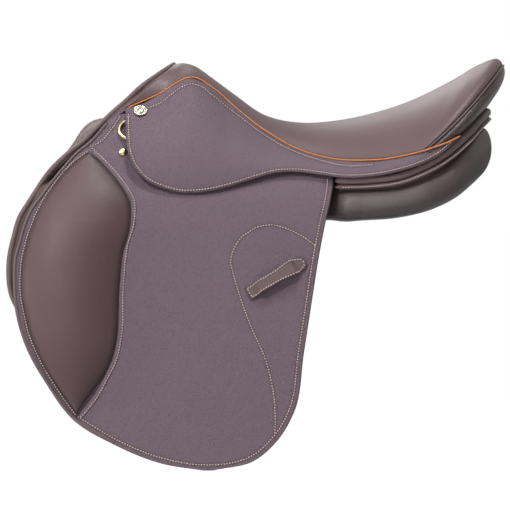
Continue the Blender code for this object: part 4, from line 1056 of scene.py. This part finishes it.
class SADDLE_OT_panels(AddPiece, bpy.types.Operator):
    """Add the flocked panels, the gullet lining and the stitched roll above the panels' rear"""
    bl_idname = "saddle.panels"
    bl_label = "Panels"

    def execute(self, context):
        self.add_panels()
        self.add_facing()
        return {"FINISHED"}

    def add_panels(self):
        """Each section has four corners, rounded by a power of sine and cosine, and both ends draw in."""
        turn = np.linspace(0, 2 * math.pi, 56, endpoint=False)
        s, r = [(0.5 + 0.5 * np.sign(wave) * np.abs(wave) ** PANEL_SQUARE)[None]
                for wave in (np.cos(turn), np.sin(turn))]
        reach = np.sin(np.linspace(0.1, math.pi / 2, 14))
        (front_x, front_length), (rear_x, rear_length) = PANEL_FRONT, PANEL_REAR
        xs = np.concatenate([front_x - front_length * reach[::-1], np.linspace(front_x + 2, rear_x - 2, 130),
                             rear_x + rear_length * reach])
        keys = [curve([(k[0], k[i]) for k in PANEL], xs)[:, None] for i in range(1, 9)]
        past = np.clip(np.maximum((xs - rear_x) / rear_length, (front_x - xs) / front_length), 0, 1)
        ends = np.maximum(np.sqrt(1 - past ** 2), 0.1)[:, None]
        fields = []
        for a, b, c, d in (keys[0::2], keys[1::2]):
            field = (a * s + d * (1 - s)) * r + (b * s + c * (1 - s)) * (1 - r)
            middle = field.mean(1, keepdims=True)
            fields.append(middle + (field - middle) * ends)
        y, z = fields
        x = xs[:, None] + 0 * y
        # Painted shade: each section darkens from its top to its foot, so the lighter top reads as a painted
        # highlight
        painted_shade = 1.25 * (1 - r) ** 0.9 + 0 * x
        for side, word in SIDES:
            rings = np.stack([x, side * y, z], axis=-1)
            panel = put_rings("flocked_panel_" + word, rings, "foot", seam=painted_shade)
            declare(panel, "tree", ["panel_" + word])
        xs = np.linspace(-130, 226, 60)
        roof = curve([(k[0], k[8]) for k in PANEL], xs) - 8
        across = np.linspace(-LINING_HALF, LINING_HALF, 16)
        top = np.stack(np.broadcast_arrays(xs[:, None], across[None, :], roof[:, None]), axis=-1)
        lining = put_sheet("gullet_lining_leather", top, top - np.array([0, 0, 3.0]), "panel")
        declare(lining, "tree", ["gullet_lining"])

    def add_facing(self):
        """A roll carried round the cantle, a stitched welt under it and a gusset down to the panels."""
        line = even(mirrored(FACING) + FACING[::-1][1:], 3.0)
        tangent = unit(np.gradient(line, axis=0))
        upright = unit(np.array([0, 0, 1.0]) - tangent * tangent[:, 2:3])
        outward = np.cross(tangent, upright)
        outward *= np.sign((outward * (line - [40, 0, 60])).sum(1, keepdims=True))
        roll = put_roll("rear_facing_roll", oval(*FACING_ROLL, 28, 0.9), line + 4.7 * upright, upright,
                        0.02, "edge")
        declare(roll, "tree", ["rear_facing"])
        low = line - 3.4 * upright + 0.3 * outward
        welt = put_roll("rear_facing_welt", oval(*FACING_WELT, 20, 0.9), low, upright, 0.012, "edge")
        declare(welt, "tree")
        normal = outward - 0.15 * upright
        run = ((low + 4.45 * outward)[3:-3], normal[3:-3])
        declare(put_stitches("rear_facing_stitching", [run]), "tree")
        drop = np.linspace(0, 1, 12)[:, None, None]
        foot = low - 22.0 * outward - 21.0 * upright
        face = ((low - 1.0 * outward)[None] * (1 - drop) + foot[None] * drop)[:, 2:-2]
        gusset = put_sheet("rear_panel_gusset", face, face - 2.0 * outward[None, 2:-2], "panel")
        declare(gusset, "tree")


class SADDLE_OT_straps(AddPiece, bpy.types.Operator):
    """Add the sweat flaps, the punched girth billets with their webs, and the buckle guards"""
    bl_idname = "saddle.straps"
    bl_label = "Sweat flaps and billets"

    def punch(self, strap, centres, side):
        """Cuts round holes through a strap with an exact Boolean and keeps the result as the strap's mesh."""
        turn = np.linspace(0, 2 * math.pi, 20, endpoint=False)
        ring = np.stack([BILLET_HOLE_R * np.cos(turn), 0 * turn, BILLET_HOLE_R * np.sin(turn)], axis=1)
        points = np.concatenate([ring + [x, side * (y + reach), z]
                                 for x, y, z in centres for reach in (12, -12)])
        start = (np.arange(len(centres)) * 40)[:, None, None]
        walls = (grid_faces(2, 20, wrap=True)[None] + start).reshape(-1, 4)
        caps = (np.array([np.arange(20), np.arange(39, 19, -1)])[None] + start).reshape(-1, 20)
        cutter = put_mesh(strap.name + "_punch", points, [walls, caps], "strap")
        boolean = strap.modifiers.new("punch", "BOOLEAN")
        boolean.operation, boolean.solver, boolean.object = "DIFFERENCE", "EXACT", cutter
        graph = bpy.context.evaluated_depsgraph_get()
        punched = bpy.data.meshes.new_from_object(strap.evaluated_get(graph))
        strap.modifiers.clear()
        strap.data = punched
        bpy.data.objects.remove(cutter, do_unlink=True)

    def add_billets(self, side, word):
        """Three straps, each tapered into its web and pointed as half-width (1 - q^2.4)^0.5 over the tip."""
        tip_z = BILLET_END_Z + BILLET_TIP
        tip = np.sin(np.linspace(0.1, 1, 8) * math.pi / 2)
        z = np.concatenate([np.linspace(BILLET_TOP_Z, tip_z, 90), tip_z - BILLET_TIP * tip])
        past = np.clip((tip_z - z) / (BILLET_TIP + 0.5), 0, 1)
        half = BILLET_WIDTH / 2 * np.sqrt(np.clip(1 - past ** 2.4, 0, 1))
        half = half * (1 - 0.55 * np.clip((z - 44) / 12, 0, 1))
        t = 2 * crowded(10, BILLET_WIDTH, (0.4, 1.0, 1.7)) - 1
        holes = BILLET_LEAN_Z - 8 - BILLET_HOLE_PITCH * np.arange(BILLET_HOLES)
        for number in range(3):
            x = BILLET_X + (number - 1) * BILLET_PITCH
            plan = np.stack([x + half[:, None] * t[None], z[:, None] + 0 * t[None]], axis=-1)
            name = f"billet_{word}_{number + 1}"
            strap = leather_sheet("girth_" + name, plan, billet_y, BILLET_T, side, "strap")
            self.punch(strap, [(x + 0.1, float(billet_y(x, h)), h) for h in holes], side)
            declare(strap, "billets_" + word, [name])

    def add_guard(self, side, word):
        """A cover that rises over each billet, 3 (1 - q^2) with q past its edge, and a flat lining behind."""
        z = GUARD_TOP_Z - GUARD_HEIGHT * crowded(20, GUARD_HEIGHT, (0.4, 1.0))[:, None]
        u = (GUARD_HALF * (2 * crowded(110, 2 * GUARD_HALF, (0.4, 1.0)) - 1))[None, :]
        nearest = np.abs((u + BILLET_PITCH / 2) % BILLET_PITCH - BILLET_PITCH / 2)
        channel = 3.0 * (1 - np.clip((nearest - 14.2) / 2.8, 0, 1) ** 2)
        middle_z = GUARD_TOP_Z - GUARD_HEIGHT / 2
        face = flap_y(BILLET_X, z) - BILLET_DEPTH - 0.3
        outer = face + channel - 0.4 * (np.abs(z - middle_z) / 30) ** 8
        for name, y, thick, nodes in (("buckle_guard_cover_", outer, 1.8, ["buckle_guard_" + word]),
                                      ("buckle_guard_lining_", face - BILLET_T - 0.8, 1.0, [])):
            front, back = [np.stack(np.broadcast_arrays(BILLET_X + u, side * level, z), axis=-1)
                           for level in (y, y - thick)]
            declare(put_sheet(name + word, front, back, "strap"), "guard_" + word, nodes)

    def execute(self, context):
        plan = ruled(SWEAT_FRONT, SWEAT_REAR, crowded(110, 400), crowded(70, 280))
        web_plan = ruled(*WEB_ENDS, 30, np.linspace(0, 1, 40))
        edge = inset(even(SWEAT_REAR[1:] + SWEAT_FRONT[:9:-1], 3.0), SWEAT_STITCH_INSET)
        for side, word in SIDES:
            sweat = leather_sheet("sweat_flap_leather_" + word, plan, sweat_y, SWEAT_T, side, "strap", [edge])
            declare(sweat, "tree", ["sweat_flap_" + word])
            self.add_billets(side, word)
            web = leather_sheet("billet_webbing_" + word, web_plan, web_y, WEB_T, side, "web")
            declare(web, "tree", ["billet_web_" + word])
            self.add_guard(side, word)
            run = on_surface(sweat_y, side, edge, 0.05)
            declare(put_stitches("sweat_flap_stitching_" + word, [run]), "tree")
        return {"FINISHED"}


class SADDLE_OT_fittings(AddPiece, bpy.types.Operator):
    """Add the head nails, flap studs, dee rings and the tabs that hold them"""
    bl_idname = "saddle.fittings"
    bl_label = "Nails, studs and dee rings"

    def add_dee(self, side, word):
        """A round wire carried along half an ellipse and back along a straight, and the tab that holds it."""
        along, outward, upward = plane_axes(flap_y, side, DEE_X, DEE_Z, 8.0)
        centre = point_on(flap_y, side, DEE_X, DEE_Z) + outward * (GAP + 1.3 + DEE_WIRE_R)
        turn = np.linspace(math.pi / 2, 3 * math.pi / 2, 48)
        arc = np.stack([(DEE_R + 1.4) * np.cos(turn), (DEE_R + 1.0) * np.sin(turn)], axis=1)
        straight = np.stack([np.zeros(14), np.linspace(-DEE_R - 1.0, DEE_R + 1.0, 16)[1:-1]], axis=1)
        route = np.concatenate([arc, straight])
        ahead = unit(np.roll(route, -1, axis=0) - np.roll(route, 1, axis=0))
        wire = oval(DEE_WIRE_R, DEE_WIRE_R, 14)
        flat = route[:, None] + wire[None, :, :1] * np.stack([ahead[:, 1], -ahead[:, 0]], axis=1)[:, None]
        rings = (centre + flat[..., :1] * along + flat[..., 1:] * upward
                 + np.broadcast_to(wire[None, :, 1:], flat.shape[:2] + (1,)) * outward)
        ring = put_rings("dee_ring_wire_" + word, rings, "brass", closed=True)
        declare(ring, "dee_" + word, ["dee_ring_" + word])
        line = centre + np.linspace(*DEE_TAB_SPAN, 30)[:, None] * along
        tab = put_roll("dee_tab_strap_" + word, oval(DEE_TAB_HALF, DEE_WIRE_R + 1.3, 24, 0.5), line,
                       np.tile(outward, (len(line), 1)), 0.1, "strap")
        declare(tab, "tree", ["dee_tab_" + word])

    def execute(self, context):
        for side, word in SIDES:
            axes = plane_axes(skirt_y, side, NAIL_X, NAIL_Z)
            base = point_on(skirt_y, side, NAIL_X, NAIL_Z) + axes[1] * 1.1
            rings = turned(NAIL_PROFILE, base, axes, 144, lambda turn: 0.03 * np.cos(24 * turn))
            head = put_rings("head_nail_cap_" + word, rings, "nickel")
            declare(head, "tree", ["head_nail_" + word])
            axes = plane_axes(flap_y, side, STUD_X, STUD_Z)
            base = point_on(flap_y, side, STUD_X, STUD_Z) + axes[1] * 0.3
            button = put_rings("flap_stud_dome_" + word, turned(STUD_PROFILE, base, axes, 48), "brass")
            declare(button, "tree", ["flap_stud_" + word])
            self.add_dee(side, word)
        return {"FINISHED"}


class SADDLE_OT_tree(AddPiece, bpy.types.Operator):
    """Finish the tree's steel and wood in place and add the woven webbing that carries the seat"""
    bl_idname = "saddle.tree"
    bl_label = "Tree"

    def execute(self, context):
        parts = {"steel": ["head_plate"], "wood": ["cantle_frame"]}
        for _, word in SIDES:
            parts["steel"] += [stem + word for stem in ("stirrup_bar_", "bar_catch_", "catch_pin_")]
            parts["wood"] += [stem + word for stem in ("point_plate_", "tree_rail_")]
        for look, nodes in parts.items():
            for node in nodes:
                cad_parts[node].data.materials.clear()
                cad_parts[node].data.materials.append(finish(look))
        us, ts = np.linspace(0.05, 0.97, 90), np.linspace(-0.465, 0.465, 30)
        top = seat_points(us, ts)
        drop = WEBBING_DROP * (1 - 0.6 * ts[None, :, None] ** 2)
        top = top - 4.5 * grid_normals(top) - np.array([0, 0, 1.0]) * drop
        webbing = put_sheet("seat_webbing_tape", top, top - np.array([0, 0, 1.6]), "web")
        declare(webbing, "tree", ["seat_webbing"])
        return {"FINISHED"}


class SADDLE_OT_stage(AddPiece, bpy.types.Operator):
    """Add the studio floor, world, soft lamps and camera"""
    bl_idname = "saddle.stage"
    bl_label = "Studio"

    def add_world(self, scene):
        """White to the camera and through glass, greyer in reflections, and a weak even light around."""
        scene.world = bpy.data.worlds.new("studio")
        scene.world.use_nodes = True
        tree = scene.world.node_tree
        tree.nodes.clear()
        rays = add_node(tree, "LightPath")
        seen = add_node(tree, "Math", {"operation": "MAXIMUM"},
                        links={0: rays.outputs["Is Camera Ray"], 1: rays.outputs["Is Transmission Ray"]})
        light, white, glossy = [
            add_node(tree, "Background", values={"Color": colour, "Strength": strength})
            for colour, strength in ((linear("#F4F4F6"), 0.27), (WHITE, 1.0), (WHITE, 0.45))]
        mirror = add_node(tree, "MixShader",
                          links={0: rays.outputs["Is Glossy Ray"], 1: light.outputs[0], 2: glossy.outputs[0]})
        both = add_node(tree, "MixShader",
                        links={0: seen.outputs[0], 1: mirror.outputs[0], 2: white.outputs[0]})
        add_node(tree, "OutputWorld", links={"Surface": both.outputs[0]})

    def execute(self, context):
        scene = context.scene
        scene.view_settings.view_transform = "Standard"
        self.add_world(scene)

        edge = np.linspace(-9000, 9000, 3)
        x, y = np.meshgrid(edge, edge, indexing="ij")
        top = np.stack([x, y, scene.saddle_looks.floor_height / MM + 0 * x], axis=-1)
        put_sheet("studio_floor", top, top - [0, 0, 20.0], "floor")

        for name, size, power, place, target in LAMPS:
            data = bpy.data.lights.new(name, "AREA")
            data.shape, data.size, data.energy = "DISK", size, power
            lamp = bpy.data.objects.new(name, data)
            lamp.location = place
            lamp.rotation_euler = (Vector(target) - Vector(place)).to_track_quat("-Z", "Y").to_euler()
            scene.collection.objects.link(lamp)

        data = bpy.data.cameras.new("side_view")
        data.sensor_width = 36.0
        data.lens = data.sensor_width * CAMERA_DISTANCE / VIEW_WIDTH
        data.clip_start, data.clip_end = 0.1, 100.0
        camera = bpy.data.objects.new("side_view", data)
        camera.location = (VIEW_MIDDLE[0], VIEW_MIDDLE[1] - CAMERA_DISTANCE, VIEW_MIDDLE[2])
        camera.rotation_euler = (math.pi / 2, 0, 0)
        scene.collection.objects.link(camera)
        scene.camera = camera
        return {"FINISHED"}


PIECES = (SADDLE_OT_seat, SADDLE_OT_piping, SADDLE_OT_cantle, SADDLE_OT_skirts, SADDLE_OT_flaps,
          SADDLE_OT_knee_pads, SADDLE_OT_keepers, SADDLE_OT_pommel, SADDLE_OT_panels, SADDLE_OT_straps,
          SADDLE_OT_fittings, SADDLE_OT_tree, SADDLE_OT_stage)


class SADDLE_PT_looks(bpy.types.Panel):
    """The saddle's sizes, colours and pieces"""
    bl_idname = "SADDLE_PT_looks"
    bl_label = "Saddle"
    bl_space_type = "VIEW_3D"
    bl_region_type = "UI"
    bl_category = "Saddle"

    def draw(self, context):
        looks = context.scene.saddle_looks
        column = self.layout.column(align=True)
        for key in looks.bl_rna.properties.keys():
            if key not in ("rna_type", "name"):
                column.prop(looks, key)
        for piece in PIECES:
            self.layout.operator(piece.bl_idname)


CLASSES = (SaddleLooks, *PIECES, SADDLE_PT_looks)


def register():
    for cls in CLASSES:
        bpy.utils.register_class(cls)
    bpy.types.Scene.saddle_looks = bpy.props.PointerProperty(type=SaddleLooks)


def unregister():
    del bpy.types.Scene.saddle_looks
    for cls in reversed(CLASSES):
        bpy.utils.unregister_class(cls)


def main():
    """Adds every piece to the frame."""
    register()
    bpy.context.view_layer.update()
    for piece in PIECES:
        area, action = piece.bl_idname.split(".")
        getattr(getattr(bpy.ops, area), action)()


if __name__ == "__main__":
    main()
